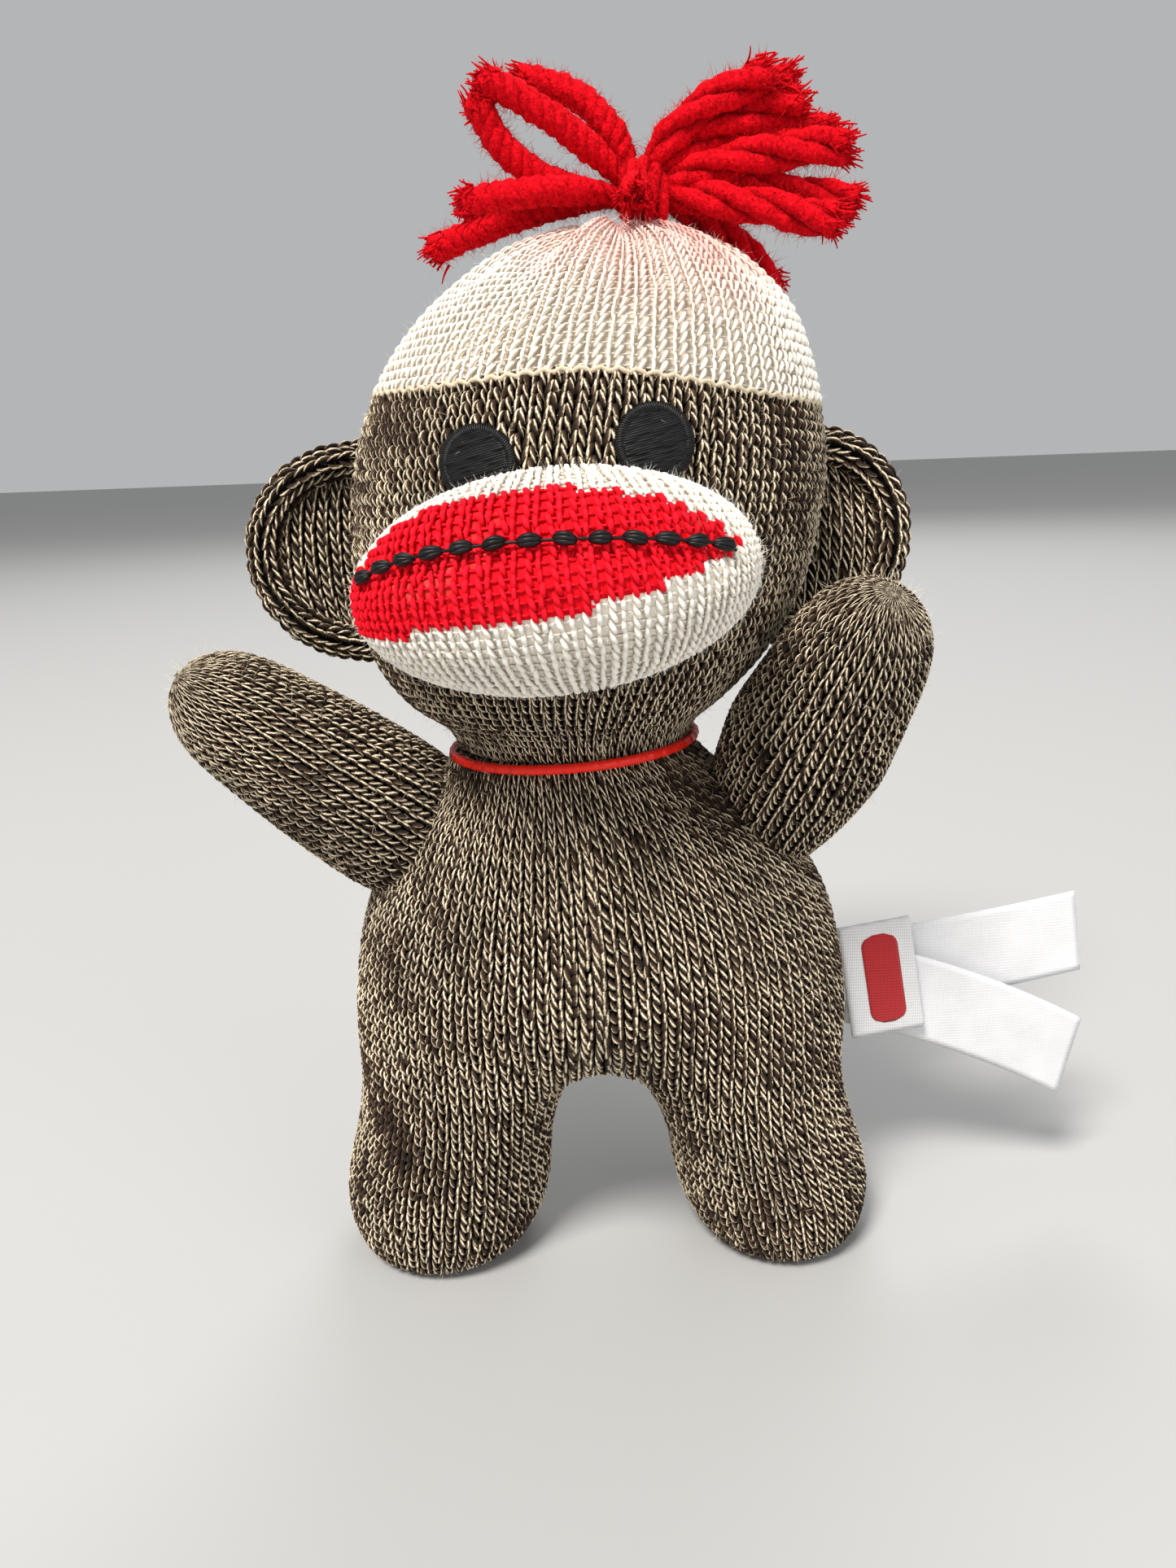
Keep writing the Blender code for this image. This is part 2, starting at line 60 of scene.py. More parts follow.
# The doll, close to the CAD but fitted further to the photograph: (height, half width, half depth, middle).
TORSO = (
    (20.0, 47.0, 27.0, 0.5), (33.0, 47.5, 28.0, 0.5), (46.5, 47.8, 29.5, 0.6), (59.5, 46.6, 31.0, 0.6),
    (72.5, 43.2, 29.5, 0.4), (85.5, 36.0, 27.0, -0.6), (94.5, 27.5, 24.5, -1.8), (99.0, 23.6, 23.0, -2.5),
    (101.6, 21.6, 21.6, -2.7),
)
HEAD = (
    (101.9, 21.4, 21.4, -2.8), (106.5, 23.8, 23.8, -3.0), (111.5, 30.0, 28.5, -3.4), (119.5, 36.0, 33.5, -2.4),
    (130.5, 39.8, 36.5, -0.4), (142.5, 41.0, 37.5, 1.2), (152.5, 40.8, 37.0, 2.4), (161.5, 38.4, 35.5, 3.7),
    (169.5, 35.4, 33.0, 5.0), (176.5, 30.6, 29.0, 6.4), (184.0, 20.8, 20.5, 7.6), (188.3, 10.5, 10.5, 8.6),
    (190.0, 4.0, 4.0, 10.0),
)
SEAM_HEIGHT, SEAM_TILT = 161.5, math.tan(math.radians(3.0))
NECK = np.array((-2.7, 0.0, 103.5))
CORD_RING, CORD_HEIGHT = 22.6, 101.4

HIP_HEIGHT = 36.5
LEG = (
    (0.0, 12.0, 12.0), (1.2, 15.6, 15.4), (4.0, 18.6, 18.4), (9.0, 20.8, 20.6), (15.0, 21.3, 22.2),
    (23.0, 20.6, 24.6), (31.0, 19.8, 27.0), (40.0, 19.2, 29.0), (56.0, 19.0, 30.4),
)  # height, half width, half depth
LEG_WIDTH = {"left": 0.925, "right": 0.87}
HIP = {"left": -29.0, "right": 30.0}
SOLE = {"left": (-32.9, -5.5), "right": (36.0, -5.5)}
CROTCH_SIDES, CROTCH_FRONT = (17.0, 40.0), (40.0, 53.0)  # heights where the two legs become one body

ARM = (
    (0.0, 13.8), (8.0, 14.2), (20.0, 13.5), (32.0, 12.2), (42.0, 10.8), (48.0, 8.8), (52.0, 5.2), (53.8, 1.0),
)  # distance from the shoulder, radius
SHOULDER = {"left": (-33.0, 0.0, 84.5), "right": (33.5, 0.0, 85.5)}
HAND = {"left": (-63.0, -16.0, 113.5), "right": (48.6, -33.0, 131.0)}
ARM_SIZE = {"left": 1.0, "right": 1.07}
ARM_ROOT = {"left": 1.0, "right": 0.78}  # the raised arm's fabric is drawn tight at the shoulder

MUZZLE_AT, MUZZLE_SIZE = (-4.4, -36.0, 134.2), np.array((31.8, 19.5, 17.0))
MUZZLE_TURN, MUZZLE_ROLL = -6.0, -5.2
LIP_TIPS, LIP_TOP, LIP_BOTTOM = (-29.3, 27.8), 12.2, -3.8
BACK_STITCHES = 13
EYES = {"left": (-14.9, 152.0), "right": (11.2, 154.0)}
EYE_RADIUS = 5.6

EAR = {"left": (-39.2, -62.0), "right": (40.6, 61.0)}
EAR_DEPTH, EAR_HEIGHT, EAR_HALF_HEIGHT, EAR_RIM = 6.0, 137.0, 20.0, 3.1

KNOT, KNOT_RADIUS = np.array((11.9, 0.0, 194.1)), 4.4
YARN_RADIUS = 2.7
YARN = {
    "left_tuft": (
        ((-12, -5, 12), (-26, -7, 17.5)),
        ((-5, 1, 18), (-20.5, 1, 19)),
        ((-22, -3, 2), (-26.5, -6, 15.5)),
        ((-15, -6, 2.0), (-30, -8, -1.5)),
        ((-15, 4, 2), (-37, 7, -6.0)),
    ),
    "right_tuft": (
        ((6, -5, 13), (22, -7, 16.5)),
        ((8, 3, 15), (27, 3, 18.5)),
        ((12, -3, 11), (27.5, -5, 12.5)),
        ((13, 6, 9.5), (34, 6, 11.5)),
        ((14, -7, 5.5), (34, -10, 5)),
        ((18, 2, 3), (38, 2, -1.5)),
        ((12, -8, -1), (32, -12, -7)),
        ((13, 8, 1), (26, 18, -13)),
    ),
    "head": (((-1, -8, 1.5), (-1.5, -14.5, -2.6)),),
}

SEAM_SIDE = np.array((49.6, 0.0, 49.0))
LABEL_SIZE = (14.5, 24.0)
TAIL_LENGTH, TAIL_WIDTH = 48.0, 17.5
TAIL_LEAN = {"front": -13.0, "back": 8.0}
LABEL_LEAN = 9.0

# The knit: how many wales go round each form, and the height of one course.
BODY_WALES, BODY_COURSE = 48, 1.88  # round half of the torso, or round one leg
HEAD_WALES, HEAD_COURSE = 102, 1.75
ARM_WALES, ARM_COURSE = 36, 1.80
HAT_WALES, HAT_COURSE = 70, 1.80
EAR_WALES, EAR_COURSE = 20, 2.0
RIM_WALES, RIM_COURSE = 6, 2.2
MUZZLE_STITCH = (3.10, 1.90)  # width and height
INSET = 0.75  # how far the lattice lies under the outside of the yarn

neck_joint = next(j for j in frame["record"]["behaviour"]["joints"] if j["name"] == "head_nod")
ORIGIN = np.array(neck_joint["pos_m"]) / MM - NECK


# ---------------------------------------------------------------- camera, light and floor


def camera():
    """A wide lens close to the doll, a little above its middle."""
    distance, elevation, roll = 225.0, math.radians(15.0), math.radians(2.1)
    aim = Vector((np.array((-0.35, 0.0, 92.5)) + ORIGIN) * MM)
    forward = Vector((0.0, math.cos(elevation), -math.sin(elevation)))
    up = Vector((0.0, math.sin(elevation), math.cos(elevation)))
    right = Vector((1.0, 0.0, 0.0))
    x_axis = right * math.cos(roll) - up * math.sin(roll)
    y_axis = right * math.sin(roll) + up * math.cos(roll)
    turn = Matrix((x_axis, y_axis, -forward)).transposed().to_4x4()
    data = bpy.data.cameras.new("camera")
    data.lens, data.clip_start = 27.03, 0.01
    made = bpy.data.objects.new("camera", data)
    made.matrix_world = Matrix.Translation(aim - forward * distance * MM) @ turn
    bpy.context.scene.collection.objects.link(made)
    bpy.context.scene.camera = made


def softbox(name, place, aim, size, power, colour):
    """A round soft light."""
    data = bpy.data.lights.new(name, "AREA")
    data.shape = "DISK"
    data.size = size
    data.energy = power
    data.color = colour
    made = bpy.data.objects.new(name, data)
    made.location = place
    made.rotation_euler = (Vector(aim) - Vector(place)).to_track_quat("-Z", "Y").to_euler()
    bpy.context.scene.collection.objects.link(made)


def studio():
    """The lights, the pale surround and the floor."""
    bpy.context.scene.view_settings.view_transform = "Standard"
    softbox("key_light", (-0.75, -1.30, 2.20), (0, 0, 0.10), 0.80, 92.0, (1.0, 0.965, 0.92))
    softbox("fill_light", (1.70, -1.60, 0.90), (0, 0, 0.10), 1.80, 14.0, (0.96, 0.98, 1.0))
    softbox("back_light", (0.30, 1.90, 1.80), (0, 0, 0.12), 1.50, 26.0, (1.0, 1.0, 1.0))
    world = bpy.data.worlds.new("studio")
    world.use_nodes = True
    world.node_tree.nodes["Background"].inputs["Color"].default_value = (0.88, 0.89, 0.90, 1.0)
    world.node_tree.nodes["Background"].inputs["Strength"].default_value = 0.52
    bpy.context.scene.world = world
    mesh = bpy.data.meshes.new("floor")
    reach = 60.0  # metres
    corners = [(-reach, -reach, 0), (reach, -reach, 0), (reach, reach, 0), (-reach, reach, 0)]
    mesh.from_pydata(corners, [], [(0, 1, 2, 3)])
    floor = bpy.data.objects.new("floor", mesh)
    bpy.context.scene.collection.objects.link(floor)
    surface = bpy.data.materials.new("floor")
    surface.use_nodes = True
    shader = surface.node_tree.nodes["Principled BSDF"]
    shader.inputs["Base Color"].default_value = (0.43, 0.43, 0.425, 1.0)
    shader.inputs["Roughness"].default_value = 0.85
    mesh.materials.append(surface)


# ---------------------------------------------------------------- materials


class Nodes:
    """Builds one material's nodes, with the Principled shader ready."""

    def __init__(self, name, roughness, sheen=0.0, specular=0.3):
        self.made = bpy.data.materials.new(name)
        self.made.use_nodes = True
        self.tree = self.made.node_tree
        self.shader = self.tree.nodes["Principled BSDF"]
        self.shader.inputs["Roughness"].default_value = roughness
        self.shader.inputs["Specular IOR Level"].default_value = specular
        self.shader.inputs["Sheen Weight"].default_value = sheen
        self.shader.inputs["Sheen Roughness"].default_value = 0.6

    def node(self, kind, inputs=None, **settings):
        made = self.tree.nodes.new(kind)
        for key, value in settings.items():
            setattr(made, key, value)
        for key, value in (inputs or {}).items():
            self.put(made.inputs[key], value)
        return made

    def put(self, socket, value):
        if isinstance(value, bpy.types.NodeSocket):
            self.tree.links.new(value, socket)
        else:
            socket.default_value = value

    def maths(self, operation, a, b=0.0):
        return self.node("ShaderNodeMath", {0: a, 1: b}, operation=operation).outputs[0]

    def mix(self, factor, a, b, blend="MIX"):
        made = self.node("ShaderNodeMix", data_type="RGBA", blend_type=blend)
        self.put(made.inputs[0], factor)
        self.put(made.inputs[6], a)
        self.put(made.inputs[7], b)
        return made.outputs[2]

    def ramp(self, factor, *stops):
        made = self.node("ShaderNodeValToRGB", {"Fac": factor})
        points = made.color_ramp.elements
        while len(points) < len(stops):
            points.new(0.5)
        for point, (place, colour) in zip(points, stops):
            point.position = place
            point.color = (*colour, 1.0)
        return made.outputs["Color"]

    def darken(self, colour, factor, *stops):
        """The colour times a grey that follows the factor."""
        greys = self.ramp(factor, *((place, grey(value)) for place, value in stops))
        return self.mix(1.0, colour, greys, "MULTIPLY")

    def noise(self, scale, detail):
        inputs = {"Vector": self.place(), "Scale": scale, "Detail": detail}
        return self.node("ShaderNodeTexNoise", inputs).outputs["Fac"]

    def place(self):
        return self.node("ShaderNodeTexCoord").outputs["Object"]

    def bump(self, height, strength, distance):
        made = self.node("ShaderNodeBump", {"Height": height, "Strength": strength, "Distance": distance})
        self.put(self.shader.inputs["Normal"], made.outputs["Normal"])

    def fibres(self, angle, strength):
        """Bumps of single fibres, and of the two plies round the yarn."""
        plies = self.maths("COSINE", self.maths("MULTIPLY", angle, 2.0))
        self.bump(self.maths("ADD", self.noise(4200, 3), plies), strength, 0.00010)

    def yarn(self):
        """Angle round the yarn, depth, dye and chance of the stitches, from the mesh."""
        source = self.node("ShaderNodeAttribute", attribute_name="yarn")
        parts = self.node("ShaderNodeSeparateColor", {"Color": source.outputs["Color"]})
        along, aside = (self.maths("SUBTRACT", parts.outputs[k], 0.5) for k in (0, 1))
        chance = self.node("ShaderNodeAttribute", attribute_name="chance").outputs["Fac"]
        return self.maths("ARCTAN2", aside, along), parts.outputs[2], source.outputs["Alpha"], chance

    def finish(self, colour):
        self.put(self.shader.inputs["Base Color"], colour)
        return self.made


def grey(value):
    return (value, value, value)


def marl_knit():
    """Two plies, dark brown and cream, twisted together."""
    m = Nodes("marl_knit", 0.95, sheen=0.04, specular=0.12)
    angle, depth, _, chance = m.yarn()
    ragged = m.maths("MULTIPLY", m.maths("SUBTRACT", m.noise(2400, 3), 0.5), 1.3)
    away = m.maths("ADD", m.maths("ABSOLUTE", angle), ragged)
    away = m.maths("DIVIDE", away, math.pi)
    colour = m.ramp(
        away, (0.05, (0.93, 0.81, 0.59)), (0.11, (0.48, 0.37, 0.24)), (0.17, (0.096, 0.060, 0.037)),
        (0.45, (0.036, 0.020, 0.012)), (0.80, (0.017, 0.009, 0.005)))
    colour = m.darken(colour, m.noise(60, 3), (0.3, 0.70), (0.7, 1.15))
    colour = m.darken(colour, chance, (0.0, 0.75), (1.0, 1.12))
    # Darker where the depth is low, in the gaps, on the undersides of the strokes and on the backing: painted
    # shade.
    colour = m.darken(colour, depth, (0.0, 0.25), (0.55, 0.85), (1.0, 1.0))
    m.fibres(angle, 0.5)
    return m.finish(colour)


def white_knit():
    m = Nodes("white_knit", 0.95, sheen=0.3)
    angle, depth, dye, chance = m.yarn()
    # The colour follows the depth: darker in the gaps, on the undersides and on the backing, lightest on the
    # crests. This is painted shade.
    colour = m.ramp(depth, (0.0, (0.54, 0.46, 0.35)), (0.40, (0.84, 0.77, 0.65)), (1.0, (0.97, 0.94, 0.87)))
    colour = m.darken(colour, chance, (0.0, 0.93), (1.0, 1.03))
    blotch = m.maths("MULTIPLY", dye, m.ramp(m.noise(90, 3), (0.35, grey(0.45)), (0.65, grey(1.0))))
    colour = m.mix(blotch, colour, (0.86, 0.30, 0.26, 1.0))
    m.fibres(angle, 0.4)
    return m.finish(colour)


def red_knit():
    m = Nodes("red_knit", 0.95, specular=0.15)
    angle, depth, backing, chance = m.yarn()
    # The red follows the depth: darker in the gaps and on the undersides of the strokes, painted shade.
    colour = m.ramp(
        depth, (0.0, (0.42, 0.001, 0.004)), (0.45, (0.80, 0.003, 0.012)), (1.0, (0.98, 0.010, 0.030)))
    colour = m.darken(colour, chance, (0.0, 0.90), (1.0, 1.04))
    showing = m.ramp(m.noise(70, 2), (0.56, (0.84, 0.006, 0.016)), (0.72, (0.74, 0.09, 0.08)))
    colour = m.mix(backing, colour, showing)
    m.fibres(angle, 0.4)
    return m.finish(colour)


def red_yarn():
    """Brushed acrylic, paler where single fibres catch the light."""
    m = Nodes("red_yarn", 0.97, specular=0.10)
    _, depth, _, _ = m.yarn()
    colour = m.ramp(
        m.noise(1500, 4),
        (0.32, (0.40, 0.001, 0.004)), (0.55, (0.66, 0.002, 0.009)), (0.78, (0.86, 0.008, 0.018)))
    # Darker where the depth is low, between the plies and in the knot's core: painted shade.
    colour = m.darken(colour, depth, (0.0, 0.18), (0.55, 0.62), (1.0, 1.08))
    m.bump(m.noise(2800, 4), 0.9, 0.00030)
    return m.finish(colour)


def thread(name, dark, light, roughness):
    """Glossy sewing or embroidery thread."""
    m = Nodes(name, roughness, specular=0.28)
    _, depth, _, chance = m.yarn()
    colour = m.mix(chance, (*dark, 1.0), (*light, 1.0))
    # Darker where the depth is low, on the sunk link of the mouth and the backing of the eyes: painted shade.
    colour = m.darken(colour, depth, (0.0, 0.5), (1.0, 1.0))
    m.bump(m.noise(5200, 2), 0.4, 0.00006)
    return m.finish(colour)


def woven(name, colour, low, roughness, sheen):
    """A narrow woven tape: fine ribs across and along."""
    m = Nodes(name, roughness, sheen=sheen)
    ribs = []
    for scale, way in ((520.0, "Z"), (700.0, "X")):
        inputs = {"Vector": m.place(), "Scale": scale, "Distortion": 0.6}
        ribs.append(m.node("ShaderNodeTexWave", inputs, bands_direction=way).outputs["Fac"])
    weave = m.maths("MULTIPLY", *ribs)
    shade = m.mix(weave, (*low, 1.0), (*colour, 1.0))
    shade = m.darken(shade, m.noise(160, 3), (0.3, 0.93), (0.7, 1.02))
    m.bump(weave, 0.5, 0.00008)
    return m.finish(shade)


# ---------------------------------------------------------------- meshes


class Piece:
    """Gathers the triangles of one visible piece.

    'yarn' holds, for each point, the angle round the yarn as a cosine and sine (half their
    size, round 0.5), the depth from 0 in the gaps to 1 on the crest, which the materials
    turn into painted shade, the dye, and the chance.
    """

    def __init__(self, name, material):
        self.name, self.material = name, material
        self.parts = []

    def add(self, points, faces, yarn, cells, uv):
        """cells: for each face, which cell of the texture layout it lies in. uv: corners in that cell."""
        self.parts.append((points, faces, yarn, cells, uv))

    def build(self):
        first, cell_first = 0, 0
        points, faces, yarn, cells, uv = [], [], [], [], []
        for p, f, y, c, u in self.parts:
            points.append(p)
            faces.append(f + first)
            yarn.append(np.broadcast_to(y, (len(p), 5)))
            cells.append(c + cell_first)
            uv.append(u)
            first += len(p)
            cell_first += int(c.max()) + 1
        points, faces, yarn = np.concatenate(points), np.concatenate(faces), np.concatenate(yarn)
        cells, uv = np.concatenate(cells), np.concatenate(uv)
        across = math.ceil(math.sqrt(cell_first))
        corner = np.stack([cells % across, cells // across], 1)[:, None, :]
        layout = (corner + 0.06 + 0.88 * uv) / across

        mesh = bpy.data.meshes.new(self.name)
        mesh.vertices.add(len(points))
        mesh.vertices.foreach_set("co", ((points + ORIGIN) * MM).astype(np.float32).ravel())
        mesh.loops.add(faces.size)
        mesh.loops.foreach_set("vertex_index", faces.astype(np.int32).ravel())
        mesh.polygons.add(len(faces))
        mesh.polygons.foreach_set("loop_start", np.arange(0, faces.size, 3, dtype=np.int32))
        mesh.uv_layers.new(name="OFBake").data.foreach_set("uv", layout.astype(np.float32).ravel())
        mesh.update(calc_edges=True)
        mesh.shade_smooth()
        colours = mesh.attributes.new("yarn", "FLOAT_COLOR", "POINT")
        colours.data.foreach_set("color", yarn[:, :4].astype(np.float32).ravel())
        chances = mesh.attributes.new("chance", "FLOAT", "POINT")
        chances.data.foreach_set("value", yarn[:, 4].astype(np.float32))
        mesh.materials.append(self.material)
        made = bpy.data.objects.new(self.name, mesh)
        bpy.context.scene.collection.objects.link(made)
        return made


def finish(piece, body, slot, *replaced, fill=None):
    """Builds a piece that rides on one body, and hides the CAD parts it replaces."""
    made = piece.build()
    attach(made, body)
    if replaced:
        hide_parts(*replaced)
    return made


def smooth(low, high, value):
    """0 below low, 1 above high, and an easy rise between them."""
    share = np.clip((value - low) / (high - low), 0.0, 1.0)
    return share * share * (3 - 2 * share)


def rotation(*turns):
    """The matrix of turns, in degrees round named axes, of which the last is made first."""
    made = Matrix.Identity(3)
    for angle, axis in turns:
        made = made @ Matrix.Rotation(math.radians(angle), 3, axis)
    return np.array(made)


def quads(a, b, c, d):
    """Two triangles for each four corners."""
    return np.concatenate([np.stack(three, -1).reshape(-1, 3) for three in ((a, b, c), (a, c, d))])


def xyz(*parts):
    """Points from their three coordinates, of which some may be single values."""
    return np.stack(np.broadcast_arrays(*parts), -1)


def unit(vectors):
    return vectors / np.maximum(np.linalg.norm(vectors, axis=-1, keepdims=True), 1e-9)


def spline(points, fine=24):
    """A smooth line through the points."""
    p = np.asarray(points, float)
    padded = np.vstack([2 * p[0] - p[1], p, 2 * p[-1] - p[-2]])
    t = np.linspace(0, len(p) - 1, fine * (len(p) - 1) + 1)
    i = np.minimum(t.astype(int), len(p) - 2)
    f = (t - i)[:, None]
    a, b, c, d = (padded[i + k] for k in range(4))
    return 0.5 * (2 * b + (c - a) * f + (2 * a - 5 * b + 4 * c - d) * f ** 2 + (3 * b - a - 3 * c + d) * f ** 3)


def even(line, count):
    """That many points, evenly spaced along a line."""
    length = np.concatenate([[0], np.cumsum(np.linalg.norm(np.diff(line, axis=0), axis=1))])
    at = np.linspace(0, length[-1], count)
    return np.stack([np.interp(at, length, line[:, k]) for k in range(line.shape[1])], 1)


def even_rows(grid, pitch):
    """The grid's rows, moved to be a stitch's height apart."""
    step = np.linalg.norm(np.diff(grid, axis=0), axis=2).mean(1)
    length = np.concatenate([[0], np.cumsum(step)])
    at = np.linspace(0, length[-1], max(round(length[-1] / pitch), 1) + 1)
    i = np.clip(np.searchsorted(length, at, side="right") - 1, 0, len(step) - 1)
    f = ((at - length[i]) / np.maximum(step[i], 1e-9))[:, None, None]
    return grid[i] * (1 - f) + grid[i + 1] * f


def even_columns(grid, count):
    """Each row's points, moved to be evenly spaced."""
    return np.stack([even(row, count + 1) for row in grid])


def normals_of(grid):
    across = np.gradient(grid, axis=1)
    up = np.gradient(grid, axis=0)
    return unit(np.cross(across, up))


def patchwork(points, seed, size=11.0):
    """A slow, smooth variation from -1 to 1 over the fabric."""
    rng = np.random.default_rng(seed)
    waves = rng.normal(size=(6, 3)) / size
    shift = rng.uniform(0, TAU, 6)
    return np.sin(points @ waves.T * 2.2 + shift).sum(-1) / 3.2


# The strokes of yarn that show in one stitch, in parts of a stitch: start across and along, end across and
# along, how far it rises, how thick it is.
PLAIN_STITCH = ((-0.45, -0.94, -0.11, 0.64, 0.42, 0.195), (0.45, -0.94, 0.11, 0.64, 0.42, 0.195))
RIB_STITCH = (
    (-0.25, -0.86, -0.23, 0.62, 0.34, 0.120), (0.42, -0.80, 0.06, 0.55, 0.34, 0.145),
    (-0.26, 0.05, 0.14, -0.05, 0.08, 0.060), (0.28, 0.05, 0.82, -0.05, 0.08, 0.060),
)
SOFT_STITCH = (
    (-0.31, -0.86, -0.28, 0.62, 0.24, 0.180), (0.38, -0.80, 0.15, 0.55, 0.26, 0.185),
    (0.26, 0.05, 0.78, -0.05, 0.06, 0.090), (-0.28, 0.05, 0.14, -0.05, 0.06, 0.090),
)
LIP_STITCH = (
    (-0.31, -0.86, -0.28, 0.62, 0.26, 0.190), (0.39, -0.82, 0.17, 0.60, 0.28, 0.195),
    (0.26, 0.05, 0.78, -0.05, 0.06, 0.100), (-0.28, 0.05, 0.14, -0.05, 0.06, 0.100),
)
RINGS, SIDES = 6, 7


def plain(depth, chance=0.5, cream=False, dye=0.0):
    """The yarn values of something that isn't a stitch."""
    return np.array((0.98 if cream else 0.02, 0.5, depth, dye, chance))


def leg_shape(fine):
    """One leg of a stitch as rings of a teardrop: its line, its width and its triangles."""
    rings, sides = (5, 6) if fine else (RINGS, SIDES)
    s = (np.arange(rings) + 0.5) / rings
    faces, uv = [], []
    for r in range(rings - 1):
        for k in range(sides):
            k2 = (k + 1) % sides
            a, b, c, d = r * sides + k, r * sides + k2, (r + 1) * sides + k2, (r + 1) * sides + k
            u0, u1, v0, v1 = k / sides, (k + 1) / sides, (r + 1) / (rings + 1), (r + 2) / (rings + 1)
            faces += [(a, c, b), (a, d, c)]
            uv += [((u0, v0), (u1, v1), (u1, v0)), ((u0, v0), (u0, v1), (u1, v1))]
    low, high = rings * sides, rings * sides + 1
    for k in range(sides):
        k2 = (k + 1) % sides
        top = (rings - 1) * sides
        u0, u1, um = k / sides, (k + 1) / sides, (k + 0.5) / sides
        faces += [(low, k, k2), (high, top + k2, top + k)]
        uv += [((um, 0.0), (u0, 1 / (rings + 1)), (u1, 1 / (rings + 1)))]
        uv += [((um, 1.0), (u1, rings / (rings + 1)), (u0, rings / (rings + 1)))]
    return rings, sides, s, np.array(faces), np.array(uv)


def stitches(piece, grid, seed, apex=1, keep=None, shape=PLAIN_STITCH, fine=False, dye=None,
             raise_by=0.0, lean=0.0, dark=0.0):
    """The strokes of one stitch for each cell of the lattice. apex: 1 or -1, the way along the rows they point.

    lean slants the strokes, as twisted yarn does. dark turns the cream ply away by up to that many radians.
    """
    a, b, c, d = grid[:-1, :-1], grid[:-1, 1:], grid[1:, 1:], grid[1:, :-1]
    if keep is None:
        keep = np.ones(a.shape[:2], bool)
    middle = ((a + b + c + d) / 4)[keep]
    across = ((b + c - a - d) / 2)[keep]
    up = ((d + c - a - b) / 2)[keep] * apex
    out = unit(np.cross(across, up * apex))
    count = len(middle)
    rng = np.random.default_rng(seed)
    middle = middle + across * rng.normal(0, 0.035, (count, 1)) + up * rng.normal(0, 0.04, (count, 1))
    middle = middle + out * raise_by
    rings, sides, s, faces, uv = leg_shape(fine)
    slow = patchwork(middle, seed)
    wide, tall = (np.linalg.norm(v, axis=1)[:, None] for v in (across, up))
    cap = np.minimum(wide, 1.45 * tall)
    turn = TAU * np.arange(sides) / sides
    # Depth round each stroke: lowest on its underside and at its ends, where it dives under the next loops. The
    # materials darken by it: painted shade.
    fade = np.interp(s, (0.0, 0.25, 0.75, 1.0), (0.45, 1.0, 1.0, 0.55))
    height = (0.30 + 0.70 * np.clip(np.sin(turn), 0, 1))[None, :] * fade[:, None]
    ends = np.concatenate([[-0.06], s, [1.08]])
    for x0, y0, x1, y1, lift, width in shape:
        along = y0 + (y1 - y0) * ends
        reach = x0 + (x1 - x0) * np.clip(ends, 0, 1) ** 1.1 - lean * along
        rise = lift * np.sin(math.pi * np.clip(0.05 + 0.88 * ends, 0, 1) ** 0.85)
        thick = width * np.sin(math.pi * (0.08 + 0.84 * s)) ** 0.6
        size = rng.normal(1.0, 0.07, (count, 1, 1))
        line = (middle[:, None] + across[:, None] * reach[None, :, None] + up[:, None] * along[None, :, None]
                + out[:, None] * (cap * rise)[..., None])
        side = unit(np.cross(line[:, -1] - line[:, 0], out))
        phase = math.pi / 2 + rng.normal(0, 0.50, count) + slow * dark
        ply = turn[None, None, :] - 2.0 * (s[None, :, None] - 0.5) - phase[:, None, None]
        radius = (cap[:, None] * thick[None, :, None] * size) * (1 + 0.10 * np.cos(2 * ply))
        ring = (line[:, 1:-1, None, :] + (side[:, None, None, :] * np.cos(turn)[None, None, :, None]
                + out[:, None, None, :] * np.sin(turn)[None, None, :, None] * 0.9) * radius[..., None])
        points = np.concatenate([ring.reshape(count, -1, 3), line[:, :1], line[:, -1:]], 1)
        yarn = np.empty((count, rings * sides + 2, 5))
        yarn[:, :-2, 0] = 0.5 + 0.5 * np.cos(ply).reshape(count, -1)
        yarn[:, :-2, 1] = 0.5 + 0.5 * np.sin(ply).reshape(count, -1)
        yarn[:, -2:, 0], yarn[:, -2:, 1] = 0.1, 0.5
        # Depth for the painted shade; the two end points sit low, at 0.2.
        yarn[:, :-2, 2] = height.reshape(1, -1)
        yarn[:, -2:, 2] = 0.2
        yarn[:, :, 3] = 0.0 if dye is None else dye(middle)[:, None]
        yarn[:, :, 4] = rng.uniform(0, 1, (count, 1))
        base = np.arange(count)[:, None, None] * (rings * sides + 2)
        cells = np.repeat(np.arange(count), len(faces))
        piece.add(points.reshape(-1, 3), (faces[None] + base).reshape(-1, 3), yarn.reshape(-1, 5), cells,
                  np.tile(uv, (count, 1, 1)))
    return middle, out


def ground(piece, grid, sink, depth=0.0, close=(False, False), keep=None, dye=0.0):
    """The backing under the stitches, dark from its low depth: painted shade in the gaps between them."""
    under = grid - normals_of(grid) * sink
    rows, columns = under.shape[:2]
    index = np.arange(rows * columns).reshape(rows, columns)
    keep = np.ones((rows - 1, columns - 1), bool) if keep is None else keep
    a, b, c, d = (part[keep] for part in (index[:-1, :-1], index[:-1, 1:], index[1:, 1:], index[1:, :-1]))
    faces = quads(a, b, c, d)
    points = under.reshape(-1, 3)
    place = np.stack(np.meshgrid(np.linspace(0, 1, columns), np.linspace(0, 1, rows)), -1).reshape(-1, 2)
    for end, wanted in zip((0, rows - 1), close):
        if wanted:
            points = np.vstack([points, under[end].mean(0)])
            place = np.vstack([place, (0.5, 0.0 if end == 0 else 1.0)])
            line = index[end]
            fan = np.stack([np.full(columns - 1, len(points) - 1), line[1:], line[:-1]], -1)
            faces = np.concatenate([faces, fan if end == 0 else fan[:, ::-1]])
    piece.add(points, faces, plain(depth, dye=dye), np.zeros(len(faces), int), place[faces])


